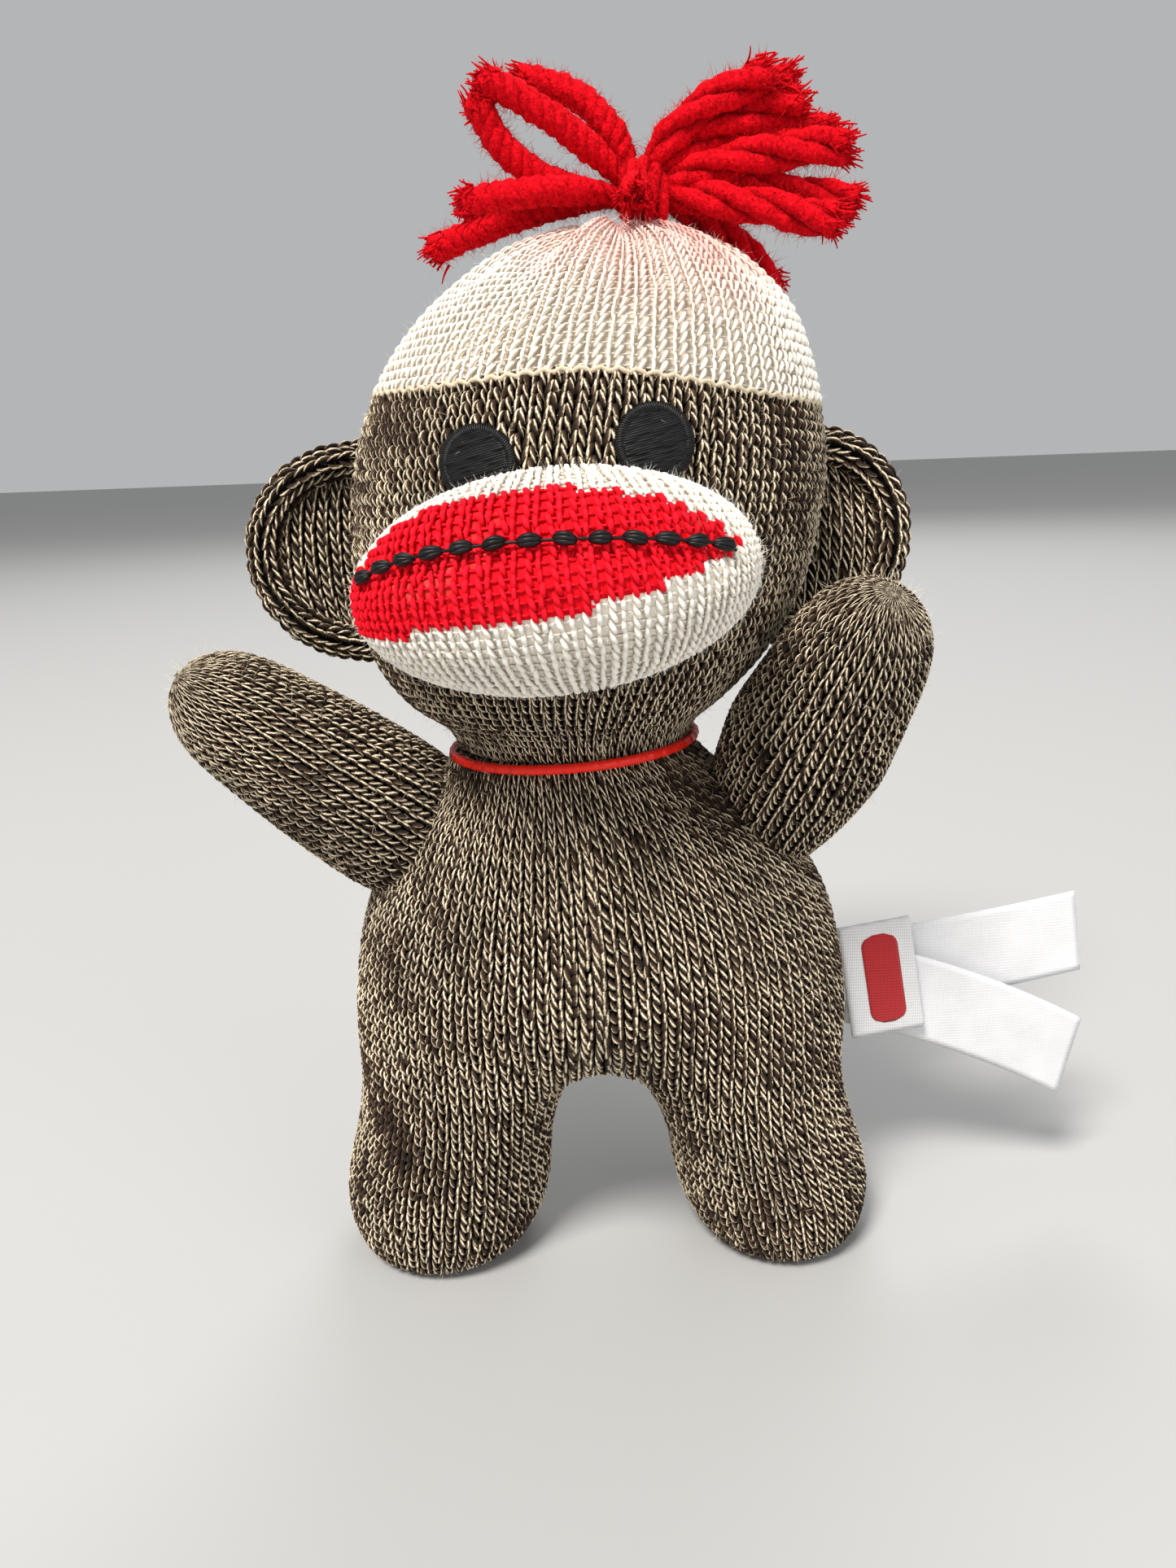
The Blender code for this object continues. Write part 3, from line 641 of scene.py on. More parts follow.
def fuzz(piece, roots, outward, count, length, seed, thick=0.035, flat=0.7):
    """Stray fibres that stand off the surface, each a fine bent cone."""
    rng = np.random.default_rng(seed)
    chosen = rng.integers(0, len(roots), count)
    base, out = roots[chosen], outward[chosen]
    start = unit(out + flat * rng.normal(size=(count, 3)))
    bend = unit(rng.normal(size=(count, 3)))
    size = rng.uniform(0.35, 1.0, (count, 1)) * length
    shares = np.array([0.0, 0.4, 0.75])
    line = base[:, None] + start[:, None] * (size[:, None] * shares[None, :, None]) \
        + bend[:, None] * (size[:, None] * (shares ** 2 * 0.55)[None, :, None])
    tip = base + start * size + bend * size * 0.55
    side = unit(np.cross(start, bend))
    other = np.cross(start, side)
    turn = TAU * np.arange(3) / 3
    circle = side[:, None, :] * np.cos(turn)[None, :, None] + other[:, None, :] * np.sin(turn)[None, :, None]
    thin = thick * (1 - shares * 0.7)
    rings = line[:, :, None] + circle[:, None] * thin[None, :, None, None]
    points = np.concatenate([rings.reshape(count, 9, 3), tip[:, None]], 1)
    faces = []
    for r in range(2):
        for k in range(3):
            a, b, c, d = r * 3 + k, r * 3 + (k + 1) % 3, (r + 1) * 3 + (k + 1) % 3, (r + 1) * 3 + k
            faces += [(a, b, c), (a, c, d)]
    faces += [(6 + k, 6 + (k + 1) % 3, 9) for k in range(3)]
    faces = np.array(faces)
    everything = (faces[None] + np.arange(count)[:, None, None] * 10).reshape(-1, 3)
    corners = np.tile(np.array([[0.2, 0.2], [0.8, 0.2], [0.5, 0.8]]), (len(everything), 1, 1))
    yarn = plain(0.9, 0.9, cream=True)
    piece.add(points.reshape(-1, 3), everything, yarn, np.zeros(len(everything), int), corners)


def frames(path):
    """Two directions square to a path at each of its points, without sudden turns."""
    along = unit(np.gradient(path, axis=0))
    side = np.empty_like(path)
    start = np.cross(along[0], (0.0, 0.0, 1.0))
    if np.linalg.norm(start) < 0.2:
        start = np.cross(along[0], (1.0, 0.0, 0.0))
    side[0] = unit(start)
    for k in range(1, len(path)):
        side[k] = unit(side[k - 1] - along[k] * (side[k - 1] @ along[k]))
    return side, np.cross(along, side)


def tube_grid(path, radius, sides):
    """A lattice round a path: rows along it, columns anticlockwise round it."""
    side, other = (direction[:, None] for direction in frames(path))
    turn = (TAU * np.arange(sides + 1) / sides)[None, :, None]
    radius = np.broadcast_to(np.asarray(radius, float), (len(path),))[:, None, None]
    return path[:, None] + radius * (side * np.cos(turn) + other * np.sin(turn))


def tube(piece, path, radius, sides=6, depth=1.0, chance=0.5):
    """A plain round strand with closed ends, its seam welded."""
    grid = tube_grid(path, radius, sides)[:, :-1]
    rows = len(path)
    index = np.arange(rows * sides).reshape(rows, sides)
    a, d = index[:-1], index[1:]
    b, c = np.roll(a, -1, 1), np.roll(d, -1, 1)
    faces = quads(a, b, c, d)
    u = np.broadcast_to(np.arange(sides) / sides, a.shape)
    v = np.broadcast_to((np.arange(rows - 1) / rows)[:, None], a.shape)
    u1, v1 = u + 1 / sides, v + 1 / rows
    corners = [np.stack(corner, -1).reshape(-1, 2) for corner in ((u, v), (u1, v), (u1, v1), (u, v1))]
    uv = np.concatenate([np.stack([corners[k] for k in order], 1) for order in ((0, 1, 2), (0, 2, 3))])
    points = np.vstack([grid.reshape(-1, 3), path[0], path[-1]])
    first, last = index[0], index[-1]
    ends = [np.stack([np.full(sides, len(points) - 2), np.roll(first, -1), first], -1),
            np.stack([np.full(sides, len(points) - 1), last, np.roll(last, -1)], -1)]
    faces = np.concatenate([faces, *ends])
    uv = np.concatenate([uv, np.tile(np.array([[0.1, 0.0], [0.2, 0.0], [0.15, 0.02]]), (2 * sides, 1, 1))])
    piece.add(points, faces, plain(depth, chance), np.zeros(len(faces), int), uv)


# ---------------------------------------------------------------- forms


def oval_rows(sections, start_angle, sweep, columns):
    """Fine rows of ellipses through the sections."""
    rows = spline(sections)
    angles = np.radians(start_angle) + np.radians(sweep) * np.linspace(0, 1, columns)
    z, wide, deep, middle = (rows[:, k][:, None] for k in range(4))
    wide, deep = wide - INSET, deep - INSET
    return xyz(middle + wide * np.cos(angles), deep * np.sin(angles), z)


def tilt(grid):
    """Raises the fabric towards the left, and over the middle of the face, as the hat's seam runs."""
    share = smooth(128.0, SEAM_HEIGHT, grid[..., 2]) * (1 - smooth(SEAM_HEIGHT, 186.0, grid[..., 2]))
    x, y = grid[..., 0] - 3.7, grid[..., 1]
    bow = 3.0 * np.exp(-(x / 20.0) ** 2) * np.clip(-y / 30.0, 0, 1)
    grid = grid.copy()
    grid[..., 2] += share * (bow - x * SEAM_TILT)
    return grid


def head_front(across, height):
    """The front of the face at a place across and up, and the direction out of it."""
    rows = spline(HEAD)
    wide, deep, middle = (np.interp(height, rows[:, 0], rows[:, k]) for k in (1, 2, 3))
    share = np.clip((across - middle) / wide, -0.98, 0.98)
    point = xyz(across, -deep * np.sqrt(1 - share ** 2), height)
    out = unit(xyz((across - middle) / wide ** 2, point[..., 1] / deep ** 2, 0.0))
    return point, out


def from_muzzle(local):
    """The muzzle's own coordinates, from its middle, in the doll's."""
    return local @ rotation((MUZZLE_TURN, "Z"), (MUZZLE_ROLL, "Y")).T + np.array(MUZZLE_AT)


def on_muzzle(across, up):
    """The front of the muzzle at a place across and up."""
    rest = 1.0 - (across / MUZZLE_SIZE[0]) ** 2 - (up / MUZZLE_SIZE[2]) ** 2
    return from_muzzle(xyz(across, -MUZZLE_SIZE[1] * np.sqrt(np.maximum(rest, 0.0)), up))


def lip_edges(share):
    """The lower and upper edge of the lips, from one corner of the mouth to the other."""
    share = np.clip(share, 0.0, 1.0)
    bow = np.sin(math.pi * share ** 0.80) ** 0.50
    return LIP_BOTTOM + 5.8 * share ** 3.5, 1.0 + 1.4 * share + LIP_TOP * bow


def mouth_height(share):
    """The line of the mouth, from one corner to the other."""
    return 2.1 + 5.4 * np.sin(math.pi * np.clip(share, 0.0, 1.0) ** 0.75) ** 0.6


# ---------------------------------------------------------------- the pieces


def even_angles(wide, deep, shares):
    """The angles that space points evenly round half an ellipse."""
    angle = np.linspace(0.0, math.pi, 181)
    speed = np.hypot(wide * np.cos(angle), deep * np.sin(angle))
    length = np.concatenate([[0.0], np.cumsum((speed[1:] + speed[:-1]) / 2)])
    return np.interp(shares * length[-1], length, angle)


def body_half(side, material):
    """Half of the torso with its leg, knitted in one, so that the fabric runs on unbroken over the hip."""
    right = side == "right"
    shares = np.linspace(0, 1, BODY_WALES + 1)
    leg_angle = np.radians((-180 if right else 0) + 360 * shares)
    torso = spline(TORSO)
    leg = spline(LEG)
    heights = np.concatenate([np.linspace(0.0, 6.0, 25)[:-1], np.linspace(6.0, 38.0, 50)[:-1],
                              np.linspace(38.0, 42.0, 60)[:-1], np.linspace(42.0, TORSO[-1][0], 90)])
    sole = np.linspace(0.04, 1.0, 12)[:-1]
    rows = []
    foot_x, foot_y = SOLE[side]
    for scale, z in [(s, 0.0) for s in sole] + [(1.0, z) for z in heights]:
        share = min(z / HIP_HEIGHT, 1.0)
        middle = np.array((foot_x + (HIP[side] - foot_x) * share, foot_y * (1 - share)))
        leg_wide, leg_deep = (np.interp(z, leg[:, 0], leg[:, k]) for k in (1, 2))
        leg_wide, leg_deep = (leg_wide * LEG_WIDTH[side] - INSET) * scale, (leg_deep - INSET) * scale
        foot = middle + xyz(leg_wide * np.cos(leg_angle), leg_deep * np.sin(leg_angle))
        wide, deep, centre = (np.interp(z, torso[:, 0], torso[:, k]) for k in (1, 2, 3))
        torso_angle = even_angles(wide, deep, shares) + (-0.5 if right else 0.5) * math.pi
        pleat = 1 + 0.02 * smooth(90, 101, z) * np.cos(15 * torso_angle)
        trunk = xyz(centre + (wide - INSET) * pleat * np.cos(torso_angle),
                    (deep - INSET) * pleat * np.sin(torso_angle))
        arch = min(max((z - CROTCH_SIDES[0]) / (CROTCH_SIDES[1] - CROTCH_SIDES[0]), 0.0), 1.0)
        under = min(max((CROTCH_FRONT[1] - z) / (CROTCH_FRONT[1] - CROTCH_FRONT[0]), 0.0), 1.0)
        seam = np.abs(2 * shares - 1)
        to_sides = seam ** 5 * (1 - math.sqrt(1 - arch ** 2)) + (1 - seam ** 5) * smooth(14.0, 52.0, z)
        to_front = seam ** 10 * math.sqrt(1 - under ** 2) + (1 - seam ** 10) * smooth(16.0, 60.0, z)
        x = foot[:, 0] * (1 - to_sides) + trunk[:, 0] * to_sides
        y = foot[:, 1] * (1 - to_front) + trunk[:, 1] * to_front
        rows.append(xyz(x, y, max(z, INSET)))
    wales = np.array(rows).swapaxes(0, 1)
    height = np.median(np.linalg.norm(np.diff(wales, axis=1), axis=2).sum(1))
    grid = even_columns(wales, round(height / BODY_COURSE)).swapaxes(0, 1)
    piece = Piece(f"body_knit_{side}", material)
    seed = 11 if right else 12
    roots, out = stitches(piece, grid, seed, lean=0.03, dark=0.8)
    ground(piece, grid, 0.30, close=(True, False))
    fuzz(piece, roots + out * 0.5, out, 1500, 2.6, seed)
    for part in piece.parts:
        part[0][:, 2] = np.maximum(part[0][:, 2], 0.03)
    made = piece.build()
    x = HIP[side]
    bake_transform(made)
    torso_nodes = ["torso_cover", "torso_stuffing"] if right else []
    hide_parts(f"{side}_leg_cover", f"{side}_leg_stuffing", *torso_nodes)


def head_cover(material):
    """The knit of the head below the hat, drawn in at the neck."""
    below = [row for row in HEAD if row[0] <= SEAM_HEIGHT]
    grid = even_rows(even_columns(tilt(oval_rows(below, 90, 360, 241)), HEAD_WALES), HEAD_COURSE)
    piece = Piece("head_knit", material)
    roots, out = stitches(piece, grid, 21, apex=-1, dark=0.5)
    ground(piece, grid, 0.25)
    fuzz(piece, roots + out * 0.5, out, 1800, 2.4, 22)
    made = piece.build()
    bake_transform(made)
    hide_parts("head_cover", "head_stuffing", "neck_stuffing")


def dye_near_tassel(points):
    """Red that has bled from the tassel into the front of the hat."""
    centre = KNOT + np.array((1.0, -12.0, -6.0))
    return np.clip(1.0 - np.linalg.norm((points - centre) / np.array((24.0, 26.0, 26.0)), axis=1), 0, 1) ** 0.6


def hat(material, seam_material):
    """The ribbed white crown, gathered under the tassel, and the cord of its seam."""
    above = [(SEAM_HEIGHT, 38.9, 36.0, 3.7)] + [row for row in HEAD if row[0] > SEAM_HEIGHT]
    rows = tilt(oval_rows(above, 90, 360, 281))
    angle = np.arctan2(rows[..., 1], rows[..., 0] - 8.0)
    gather = smooth(172.0, 187.0, rows[..., 2])
    folds = np.sin(13 * angle + 1.3 * np.sin(2 * angle)) * 0.9 + np.sin(7 * angle + 2.0) * 0.7
    rows = rows + normals_of(rows) * (gather * folds * (1 - smooth(188, 191, rows[..., 2])))[..., None]
    grid = even_rows(even_columns(rows, HAT_WALES), HAT_COURSE)
    piece = Piece("hat_knit", material)
    roots, out = stitches(piece, grid, 31, apex=-1, shape=RIB_STITCH, fine=True, dye=dye_near_tassel)
    # The backing's low depth paints shade into the holes between the ribs.
    ground(piece, grid, 0.50, depth=0.15, close=(False, True))
    fuzz(piece, roots + out * 0.3, out, 2200, 2.2, 32, thick=0.03)
    finish(piece, "head", "white_knit", "hat_crown", fill=0.8)

    seam = Piece("hat_seam", seam_material)
    count = 281
    edge = even(grid[0], count)
    normals = normals_of(grid)[0]
    shares, whole = np.linspace(0, 1, count), np.linspace(0, 1, len(normals))
    outward = xyz(*(np.interp(shares, whole, normals[:, k]) for k in range(3)))
    wave = np.sin(np.arange(count) * 1.9)
    edge = edge + np.array((0, 0, 1.0)) * (wave * 0.35)[:, None] + outward * 0.55
    tube(seam, edge, 0.42, 6, chance=0.6)
    finish(seam, "head", "white_knit")


def muzzle(white, red):
    """The padded muzzle, with the lips knitted in as red stitches."""
    reach = math.radians(128.0)
    quarter_x, quarter_z = 41.0, 28.8
    spread_x, spread_z = (q * reach / (math.pi / 2) for q in (quarter_x, quarter_z))
    columns = 2 * round(spread_x / MUZZLE_STITCH[0])
    rows = 2 * round(spread_z / MUZZLE_STITCH[1])
    u, v = np.meshgrid(np.linspace(-1, 1, columns + 1), np.linspace(-1, 1, rows + 1))
    radius = np.hypot(u, v)
    away = np.minimum(radius, 1.35) * reach
    flat_x, flat_z = (np.where(radius > 0, way / np.maximum(radius, 1e-9), 0.0) for way in (u, v))
    size = MUZZLE_SIZE - INSET
    local = xyz(size[0] * np.sin(away) * flat_x, -size[1] * np.cos(away), size[2] * np.sin(away) * flat_z)
    share = (local[..., 0] - LIP_TIPS[0]) / (LIP_TIPS[1] - LIP_TIPS[0])
    centre = (local[:-1, :-1] + local[1:, 1:]) / 2
    at = (centre[..., 0] - LIP_TIPS[0]) / (LIP_TIPS[1] - LIP_TIPS[0])
    low, high = lip_edges(at)
    front = centre[..., 1] < 0
    lips = (at > 0) & (at < 1) & (centre[..., 2] > low) & (centre[..., 2] < high) & front
    from_line = (local[..., 2] - mouth_height(share)) / 2.6
    between = smooth(0.0, 0.06, share) * (1 - smooth(0.94, 1.0, share)) * (local[..., 1] < 0)
    groove = 1.5 * np.exp(-from_line ** 2) * between
    grid = from_muzzle(local)
    grid = grid - normals_of(grid) * groove[..., None]
    middle = (grid[:-1, :-1] + grid[1:, 1:]) / 2
    face, _ = head_front(middle[..., 0], middle[..., 2])
    shown = (radius[:-1, :-1] < 1.0) & (middle[..., 1] < face[..., 1] + 2.0)
    piece = Piece("muzzle_knit", white)
    roots, out = stitches(piece, grid, 41, keep=shown & ~lips, shape=SOFT_STITCH, fine=True)
    tucked_in = np.where((radius <= 1.02)[..., None], grid, from_muzzle(local * 0.96))
    # The backing's depth of 0.72 paints a little shade between the stitches.
    ground(piece, tucked_in, 0.05, depth=0.72)
    fuzz(piece, roots + out * 0.3, out, 5000, 1.6, 42, thick=0.03)
    finish(piece, "head", "white_knit", "muzzle_cover", "muzzle_stuffing", fill=0.9)

    piece = Piece("lip_knit", red)
    roots, out = stitches(piece, grid, 43, keep=shown & lips, shape=LIP_STITCH, fine=True, raise_by=0.15)
    ground(piece, grid, -0.02, depth=0.3, keep=shown & lips, dye=1.0)
    fuzz(piece, roots + out * 0.3, out, 900, 1.8, 44, thick=0.03)
    finish(piece, "head", "red_knit", "lip_panel")


def mouth(material):
    """Thick black back stitches of several strands, joined by thin links."""
    piece = Piece("mouth_thread", material)
    rng = np.random.default_rng(51)
    left, right = LIP_TIPS
    lengths = 1.0 + 0.55 * np.sin(math.pi * (np.arange(BACK_STITCHES) + 0.5) / BACK_STITCHES)
    edges = 0.015 + 0.985 * np.concatenate([[0.0], np.cumsum(lengths)]) / lengths.sum()
    for k in range(BACK_STITCHES):
        start, end = edges[k], edges[k + 1]
        short = rng.uniform(0.11, 0.17) * (end - start)
        shares = np.linspace(start + short, end - short, 11)
        bow = np.sin(math.pi * np.linspace(0.0, 1.0, 11)) ** 0.5
        tip_up = rng.normal(0, 0.18)
        for strand in range(7):
            turn = TAU * strand / 7
            ring = 0.0 if strand == 6 else 0.62
            lift = 0.15 + bow * (0.75 + ring * math.sin(turn)) - 0.5
            heights = mouth_height(shares) + bow * ring * math.cos(turn) + tip_up * np.linspace(-1, 1, 11)
            path = on_muzzle(left + (right - left) * shares, heights)
            out = unit(path - MUZZLE_AT)
            # Depth 0.9 paints a little shade on each strand.
            tube(piece, path + out * (lift - 0.1)[:, None], 0.40 * (0.4 + 0.6 * bow), 6,
                 depth=0.9, chance=rng.uniform(0, 1))
    shares = np.linspace(edges[0], edges[-1], 90)
    path = on_muzzle(left + (right - left) * shares, mouth_height(shares))
    out = unit(path - MUZZLE_AT)
    # The link lies sunk into the muzzle, and its depth of 0.6 paints shade on it.
    tube(piece, path - out * 0.15, 0.26, 6, depth=0.6, chance=0.2)
    finish(piece, "head", "black_thread", "mouth_stitching")


def eye(side, material):
    """An embroidered disc: slanting rows of thread inside a raised satin-stitched rim."""
    piece = Piece(f"eye_{side}", material)
    rng = np.random.default_rng(61 if side == "left" else 62)
    across, height = EYES[side]
    slant = math.radians(14)
    rows = 30
    inner = EYE_RADIUS - 0.5
    for k in range(rows):
        v = inner * (2 * (k + 0.5) / rows - 1)
        half = math.sqrt(inner ** 2 - v ** 2)
        u = np.linspace(-half, half, 12)
        x, z = u * math.cos(slant) - v * math.sin(slant), u * math.sin(slant) + v * math.cos(slant)
        point, out = head_front(across + x, height + z)
        rise = 1.05 + 0.08 * np.sin(u * 1.5 + rng.uniform(0, TAU)) + rng.uniform(-0.08, 0.08)
        tube(piece, point + out * rise[:, None], 0.24, 6, chance=rng.uniform(0, 1))
    for turn in np.linspace(0, TAU, 97)[:-1]:
        r = np.linspace(EYE_RADIUS - 1.15, EYE_RADIUS + 0.25, 7)
        lean = turn + (r - EYE_RADIUS) * 0.06
        point, out = head_front(across + r * np.cos(lean), height + r * np.sin(lean))
        rise = 0.62 + 0.62 * np.sin(math.pi * np.linspace(0.12, 0.98, 7)) ** 0.7
        tube(piece, point + out * rise[:, None], 0.22, 5, chance=rng.uniform(0, 1))
    backing = []
    for r in np.linspace(0.05, EYE_RADIUS, 8):
        ring = np.linspace(0, TAU, 49)
        point, out = head_front(across + r * np.cos(ring), height + r * np.sin(ring))
        backing.append(point + out * 0.92)
    # The backing's depth of 0.3 paints shade under the threads.
    ground(piece, np.array(backing)[::-1], 0.0, depth=0.3, close=(False, True))
    finish(piece, "head", "black_thread", f"{side}_eye")


def ear(side, material):
    """A flat knitted ear inside a thick rolled rim."""
    hinge, outer = EAR[side]
    sign = 1 if side == "right" else -1
    reach = abs(outer - hinge)
    root = -3.5
    heights = np.linspace(-0.93, 0.93, 60)
    grid = []
    for t in heights:
        far = (reach - EAR_RIM) * (1 - abs(t) ** 2.4) ** (1 / 2.2)
        x = np.linspace(root, max(far, root + 4.0), 30)
        hollow = np.sin(math.pi * np.clip((x - root) / (reach - root), 0, 1))
        front = xyz(hinge + sign * x, EAR_DEPTH - 0.4 + 1.2 * hollow, EAR_HEIGHT + EAR_HALF_HEIGHT * t)
        back = front.copy()
        back[:, 1] = EAR_DEPTH + 1.4 + 1.6 * hollow
        grid.append(np.vstack([front, back[::-1]] if sign > 0 else [back, front[::-1]]))
    grid = even_rows(even_columns(np.array(grid), EAR_WALES), EAR_COURSE)
    piece = Piece(f"ear_knit_{side}", material)
    seed = 71 if side == "left" else 72
    roots, out = stitches(piece, grid, seed, lean=0.08, dark=0.4)
    ground(piece, grid, 0.2, close=(True, True))
    fuzz(piece, roots, out, 250, 2.2, seed)
    turn = np.radians(np.linspace(-104, 104, 80))
    x = (reach - EAR_RIM) * np.sign(np.cos(turn)) * np.abs(np.cos(turn)) ** 0.9
    z = (EAR_HALF_HEIGHT - EAR_RIM) * np.sin(turn)
    path = even(xyz(hinge + sign * x, EAR_DEPTH - 0.3, EAR_HEIGHT + z), 80)
    lump = 1 + 0.05 * np.sin(np.arange(80) * 0.9)
    rim = even_rows(tube_grid(path, (EAR_RIM - INSET) * lump, RIM_WALES), RIM_COURSE)
    roots, out = stitches(piece, rim, seed + 10, dark=0.4)
    ground(piece, rim, 0.2, close=(True, True))
    fuzz(piece, roots, out, 350, 2.4, seed + 10)
    finish(piece, f"{side}_ear", "marl_knit", f"{side}_ear", fill=0.35)


def arm(side, material):
    """A closed tube of knit from inside the shoulder to the hand."""
    start, end = np.array(SHOULDER[side]), np.array(HAND[side])
    axis = unit(end - start)
    rows = spline(ARM) * ARM_SIZE[side]
    rows[:, 1] *= np.interp(rows[:, 0], (0.0, 22.0), (ARM_ROOT[side], 1.0))
    ball = rows[0, 1]
    root = [(-ball * math.sin(a), ball * math.cos(a)) for a in np.radians(np.linspace(55, 8, 6))]
    profile = np.vstack([root, rows])
    profile = even(profile, 120)
    path = start + axis * profile[:, :1]
    grid = tube_grid(path, np.maximum(profile[:, 1] - INSET, 0.3), ARM_WALES)
    grid = even_rows(grid, ARM_COURSE)
    piece = Piece(f"arm_knit_{side}", material)
    seed = 81 if side == "left" else 82
    roots, out = stitches(piece, grid, seed, apex=-1, lean=-0.06, dark=0.5)
    ground(piece, grid, 0.25, close=(True, True))
    fuzz(piece, roots + out * 0.5, out, 700, 2.6, seed)
    finish(piece, f"{side}_arm", "marl_knit", f"{side}_arm_cover", f"{side}_arm_stuffing", fill=0.85)


def twisted(piece, path, radius, seed, pitch=6.5, plies=3, fray=True):
    """Soft yarn of several plies, ragged where it was cut."""
    rng = np.random.default_rng(seed)
    count = max(int(np.linalg.norm(np.diff(path, axis=0), axis=1).sum() / 0.7), 12)
    path = even(path, count)
    side, other = frames(path)
    run = np.linspace(0, 1, count)
    radius = np.atleast_1d(radius)
    radius = np.interp(run, np.linspace(0, 1, len(radius)), radius)
    length = np.linalg.norm(np.diff(path, axis=0), axis=1).sum()
    offset = rng.uniform(0, TAU)
    for ply in range(plies):
        turn = (TAU * length / pitch) * run + TAU * ply / plies + offset
        wobble = 1 + 0.08 * np.sin(run * length * 1.7 + ply)
        out_of_path = side * np.cos(turn)[:, None] + other * np.sin(turn)[:, None]
        centre = path + out_of_path * (radius * 0.50)[:, None]
        sides = 10
        tube(piece, centre, radius * 0.52 * wobble, sides)
        points, faces, _, cells, uv = piece.parts.pop()
        around = TAU * np.arange(sides) / sides
        rings = points[:-2].reshape(count, sides, 3)
        outward = unit(rings - path[:, None])
        far = np.linalg.norm(rings - path[:, None], axis=2)
        ridges = 1 + 0.05 * np.sin(3 * around[None, :] + (TAU * length / 2.6) * run[:, None])
        moved = centre[:, None] + (rings - centre[:, None]) * ridges[..., None]
        points[:-2] = moved.reshape(-1, 3)
        yarn = np.tile(plain(0.5, rng.uniform(0, 1)), (len(points), 1))
        # Depth from how far each point lies from the yarn's middle, for painted shade between the plies.
        yarn[:-2, 2] = np.clip((far / radius[:, None] - 0.25) / 0.6, 0, 1).ravel()
        piece.add(points, faces, yarn, cells, uv)
        fibres = int(length * 24)
        fuzz(piece, points[:-2], outward.reshape(-1, 3), fibres, 2.0, seed + ply, thick=0.045, flat=1.2)
        if fray:
            tangent = unit(path[-1] - path[-3])
            for strand in range(40):
                spread = unit(tangent + 0.50 * rng.normal(size=3))
                root = centre[-1] - tangent * 2.0 + rng.normal(size=3) * 0.60
                reach = rng.uniform(1.8, 4.4)
                line = root + (tangent * 0.5 + spread * 0.5) * np.linspace(0, reach, 6)[:, None] \
                    + (spread - tangent) * (np.linspace(0, 1, 6) ** 2)[:, None] * 0.8
                tube(piece, line, 0.26 * (1 - 0.6 * np.linspace(0, 1, 6)), 4, depth=0.9)


def bezier(a, b, c, count=40):
    t = np.linspace(0, 1, count)[:, None]
    return a * (1 - t) ** 2 + 2 * b * t * (1 - t) + c * t * t


def tassel(material):
    """The loose ends of yarn, and the knot that binds them to the hat."""
    number = 0
    for body, ends in YARN.items():
        for bend, tip in ends:
            number += 1
            bend, tip = np.array(bend, float), np.array(tip, float)
            root = unit(bend) * (KNOT_RADIUS * 0.8)
            tip = tip - unit(tip - bend) * 1.2
            path = KNOT + bezier(root, bend, tip)
            thick = YARN_RADIUS * np.minimum(0.55 + 1.6 * np.linspace(0, 1, 40), 1.0)
            piece = Piece(f"yarn_{number:02d}", material)
            loose = body == "right_tuft"
            twisted(piece, path, thick * (1.1 if loose else 0.92), 100 + number, 30.0 if loose else 6.5)
            finish(piece, body, "red_yarn", f"yarn_end_{number:02d}")
    piece = Piece("yarn_knot", material)
    core = []
    for height in np.linspace(-0.96, 0.96, 9):
        turn = np.linspace(0, TAU, 19)
        r = KNOT_RADIUS * 0.72 * math.sqrt(1 - height ** 2)
        core.append(KNOT + xyz(r * np.cos(turn), r * np.sin(turn), KNOT_RADIUS * 0.66 * height))
    # The core's low depth paints shade inside the knot.
    ground(piece, np.array(core), 0.0, depth=0.2, close=(True, True))
    bow = KNOT + bezier(np.array((0.6, -2.6, 4.6)), np.array((0.8, -9.0, 0.0)), np.array((1.0, -4.2, -6.6)), 24)
    for k, aside in enumerate((-2.0, 0.0, 2.0)):
        twisted(piece, bow + np.array((aside, 0.5 * abs(aside), 0.0)), 1.9, 140 + k, 30.0, fray=False)
    for k, (lean, yaw) in enumerate(((8, 0), (62, 25), (-58, -20), (88, 80), (84, 10))):
        turn = np.linspace(0, TAU, 48)
        ring = xyz(np.cos(turn), np.sin(turn), 0.0) * (KNOT_RADIUS * 0.62)
        path = KNOT + ring @ rotation((yaw, "Z"), (lean, "Y")).T
        twisted(piece, path, 1.55, 130 + k, fray=False)
    finish(piece, "head", "red_yarn", "tassel_knot")


def neck_cord(material):
    """A satin tape pulled tight in fine gathers round the neck."""
    turn = np.linspace(0, TAU, 361)
    middle = np.array((NECK[0], NECK[1], CORD_HEIGHT))
    gather = 1 + 0.004 * np.sin(turn * 46)
    path = middle + xyz(np.cos(turn) * gather, np.sin(turn) * gather, 0.05 * np.cos(turn)) * CORD_RING
    piece = Piece("neck_cord_satin", material)
    tube(piece, path, 0.88 + 0.07 * np.sin(turn * 92), 10)
    finish(piece, "torso", "red_satin", "neck_cord")


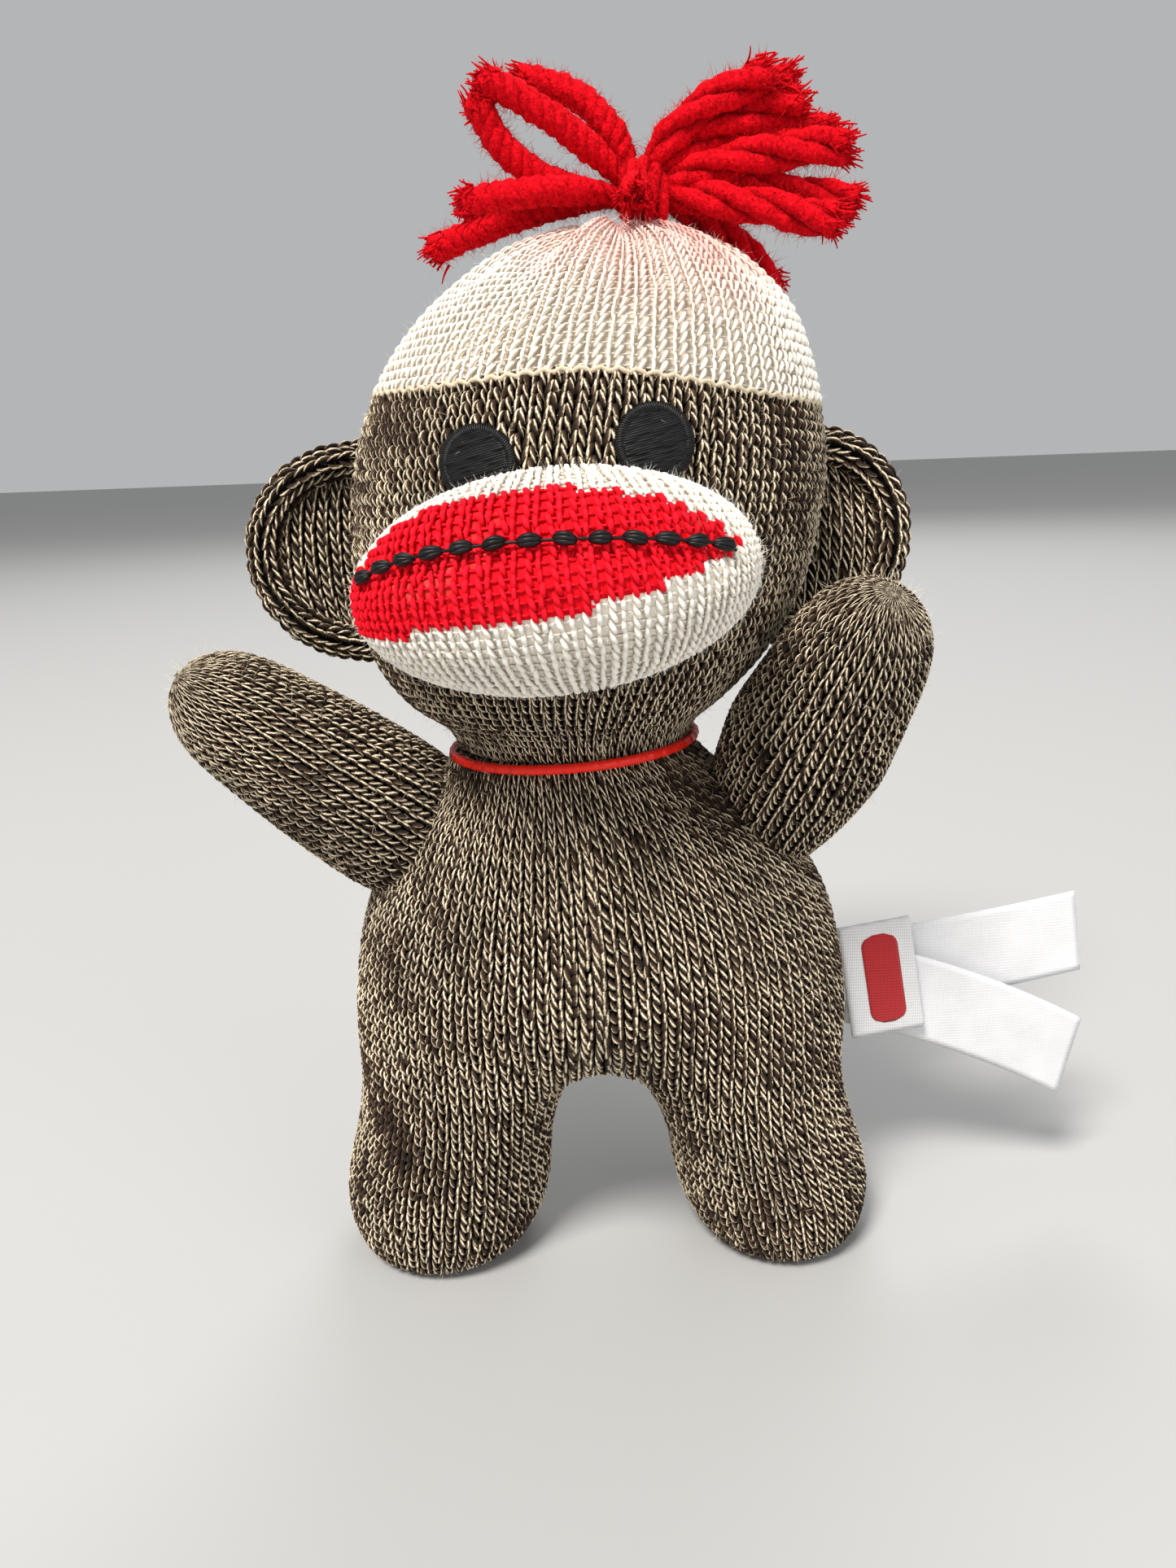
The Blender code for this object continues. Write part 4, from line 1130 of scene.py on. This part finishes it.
def sheet_grid(piece, grid, thick):
    """A sheet of cloth with a little thickness, from its middle surface."""
    out = normals_of(grid) * thick / 2
    rows, columns = grid.shape[:2]
    both = np.concatenate([(grid + out).reshape(-1, 3), (grid - out).reshape(-1, 3)])
    index = np.arange(rows * columns).reshape(rows, columns)
    other = index + rows * columns
    faces = np.concatenate([
        quads(index[:-1, :-1], index[:-1, 1:], index[1:, 1:], index[1:, :-1]),
        quads(other[:-1, :-1], other[1:, :-1], other[1:, 1:], other[:-1, 1:]),
        quads(index[0, 1:], index[0, :-1], other[0, :-1], other[0, 1:]),
        quads(index[-1, :-1], index[-1, 1:], other[-1, 1:], other[-1, :-1]),
        quads(index[:-1, 0], index[1:, 0], other[1:, 0], other[:-1, 0]),
        quads(index[1:, -1], index[:-1, -1], other[:-1, -1], other[1:, -1])])
    u, v = np.meshgrid(np.linspace(0, 1, columns), np.linspace(0, 1, rows))
    place = np.stack([u.ravel(), v.ravel()], -1)
    place = np.concatenate([place * (0.48, 1.0), place * (0.48, 1.0) + (0.52, 0.0)])
    piece.add(both, faces, plain(1.0), np.zeros(len(faces), int), place[faces])


def tip_over(grid):
    """Leans the folded label in the plane of the side seam."""
    turn = math.radians(LABEL_LEAN)
    x, z = grid[..., 0] - SEAM_SIDE[0], grid[..., 2] - SEAM_SIDE[2]
    grid = grid.copy()
    grid[..., 0] = SEAM_SIDE[0] + x * math.cos(turn) - z * math.sin(turn)
    grid[..., 2] = SEAM_SIDE[2] + x * math.sin(turn) + z * math.cos(turn)
    return grid


def labels(white, red, satin):
    """A folded woven label with a plain panel, and two satin tails behind it."""
    width, height = LABEL_SIZE
    half, fold = 0.42, 14
    out = np.linspace(0.0, width - half, fold)
    loop = [(x, -half) for x in out]
    bend = np.linspace(0.3, math.pi - 0.3, 6)
    loop += [(width - half + half * math.sin(a), -half * math.cos(a)) for a in bend]
    loop += [(x, half) for x in out[::-1]]
    loop = np.array(loop)
    levels = np.linspace(-height / 2, height / 2, 24)
    grid = xyz(SEAM_SIDE[0] + loop[:, 0], loop[:, 1], SEAM_SIDE[2] + levels[:, None])
    piece = Piece("woven_label", white)
    sheet_grid(piece, tip_over(grid), 0.3)
    label = finish(piece, "labels", "label_red", "brand_label")

    panel = Piece("woven_label_panel", red)
    wide, tall, corner = width * 0.50, height * 0.80, 2.6
    for face in (-1, 1):
        rows = []
        for z in np.linspace(-tall / 2, tall / 2, 25):
            past = max(abs(z) - (tall / 2 - corner), 0.0)
            half_wide = wide / 2 - corner + math.sqrt(max(corner ** 2 - past ** 2, 0.01))
            x = np.linspace(-half_wide, half_wide, 12) * face * -1
            rows.append(xyz(SEAM_SIDE[0] + width * 0.54 + x, face * (half + 0.21), SEAM_SIDE[2] + z))
        sheet_grid(panel, tip_over(np.array(rows)), 0.12)
    made = finish(panel, "labels", "label_red")

    depth = 0.5
    for name, lean in TAIL_LEAN.items():
        depth += 0.75
        turn = math.radians(lean)
        share = np.linspace(0, 1, 40)[:, None]
        side = np.linspace(-0.5, 0.5, 14)[None, :] * TAIL_WIDTH
        drop = -9.0 * share ** 2 if name == "front" else 0.0
        run = TAIL_LENGTH * share + 1.5
        wave = 0.35 * np.sin(share * 7.0) * np.cos(side / TAIL_WIDTH * 2.4)
        x = SEAM_SIDE[0] + math.cos(turn) * run - math.sin(turn) * side
        z = SEAM_SIDE[2] + math.sin(turn) * run + math.cos(turn) * side + drop
        y = depth + 3.0 * share ** 2 + wave
        piece = Piece(f"satin_tail_{name}", satin)
        sheet_grid(piece, xyz(x, y, z), 0.22)
        made = finish(piece, "labels", "label_satin", f"care_label_{name}")
        depth += 1.75


def main():
    camera()
    studio()
    marl, white, red, yarn = marl_knit(), white_knit(), red_knit(), red_yarn()
    black = thread("black_thread", (0.001, 0.001, 0.001), (0.008, 0.008, 0.009), 0.45)
    seam = thread("seam_thread", (0.42, 0.33, 0.22), (0.74, 0.64, 0.48), 0.8)
    cord = thread("red_satin", (0.80, 0.012, 0.006), (0.95, 0.030, 0.015), 0.30)
    for side in ("left", "right"):
        body_half(side, marl)
        arm(side, marl)
        ear(side, marl)
        eye(side, black)
    head_cover(marl)
    hat(white, seam)
    muzzle(white, red)
    mouth(black)
    neck_cord(cord)
    tassel(yarn)
    labels(
        woven("label_white", (0.84, 0.84, 0.84), (0.60, 0.60, 0.61), 0.75, 0.2),
        woven("label_red", (0.62, 0.010, 0.018), (0.30, 0.003, 0.006), 0.75, 0.2),
        woven("label_satin", (0.84, 0.84, 0.85), (0.74, 0.74, 0.76), 0.38, 0.1))


main()
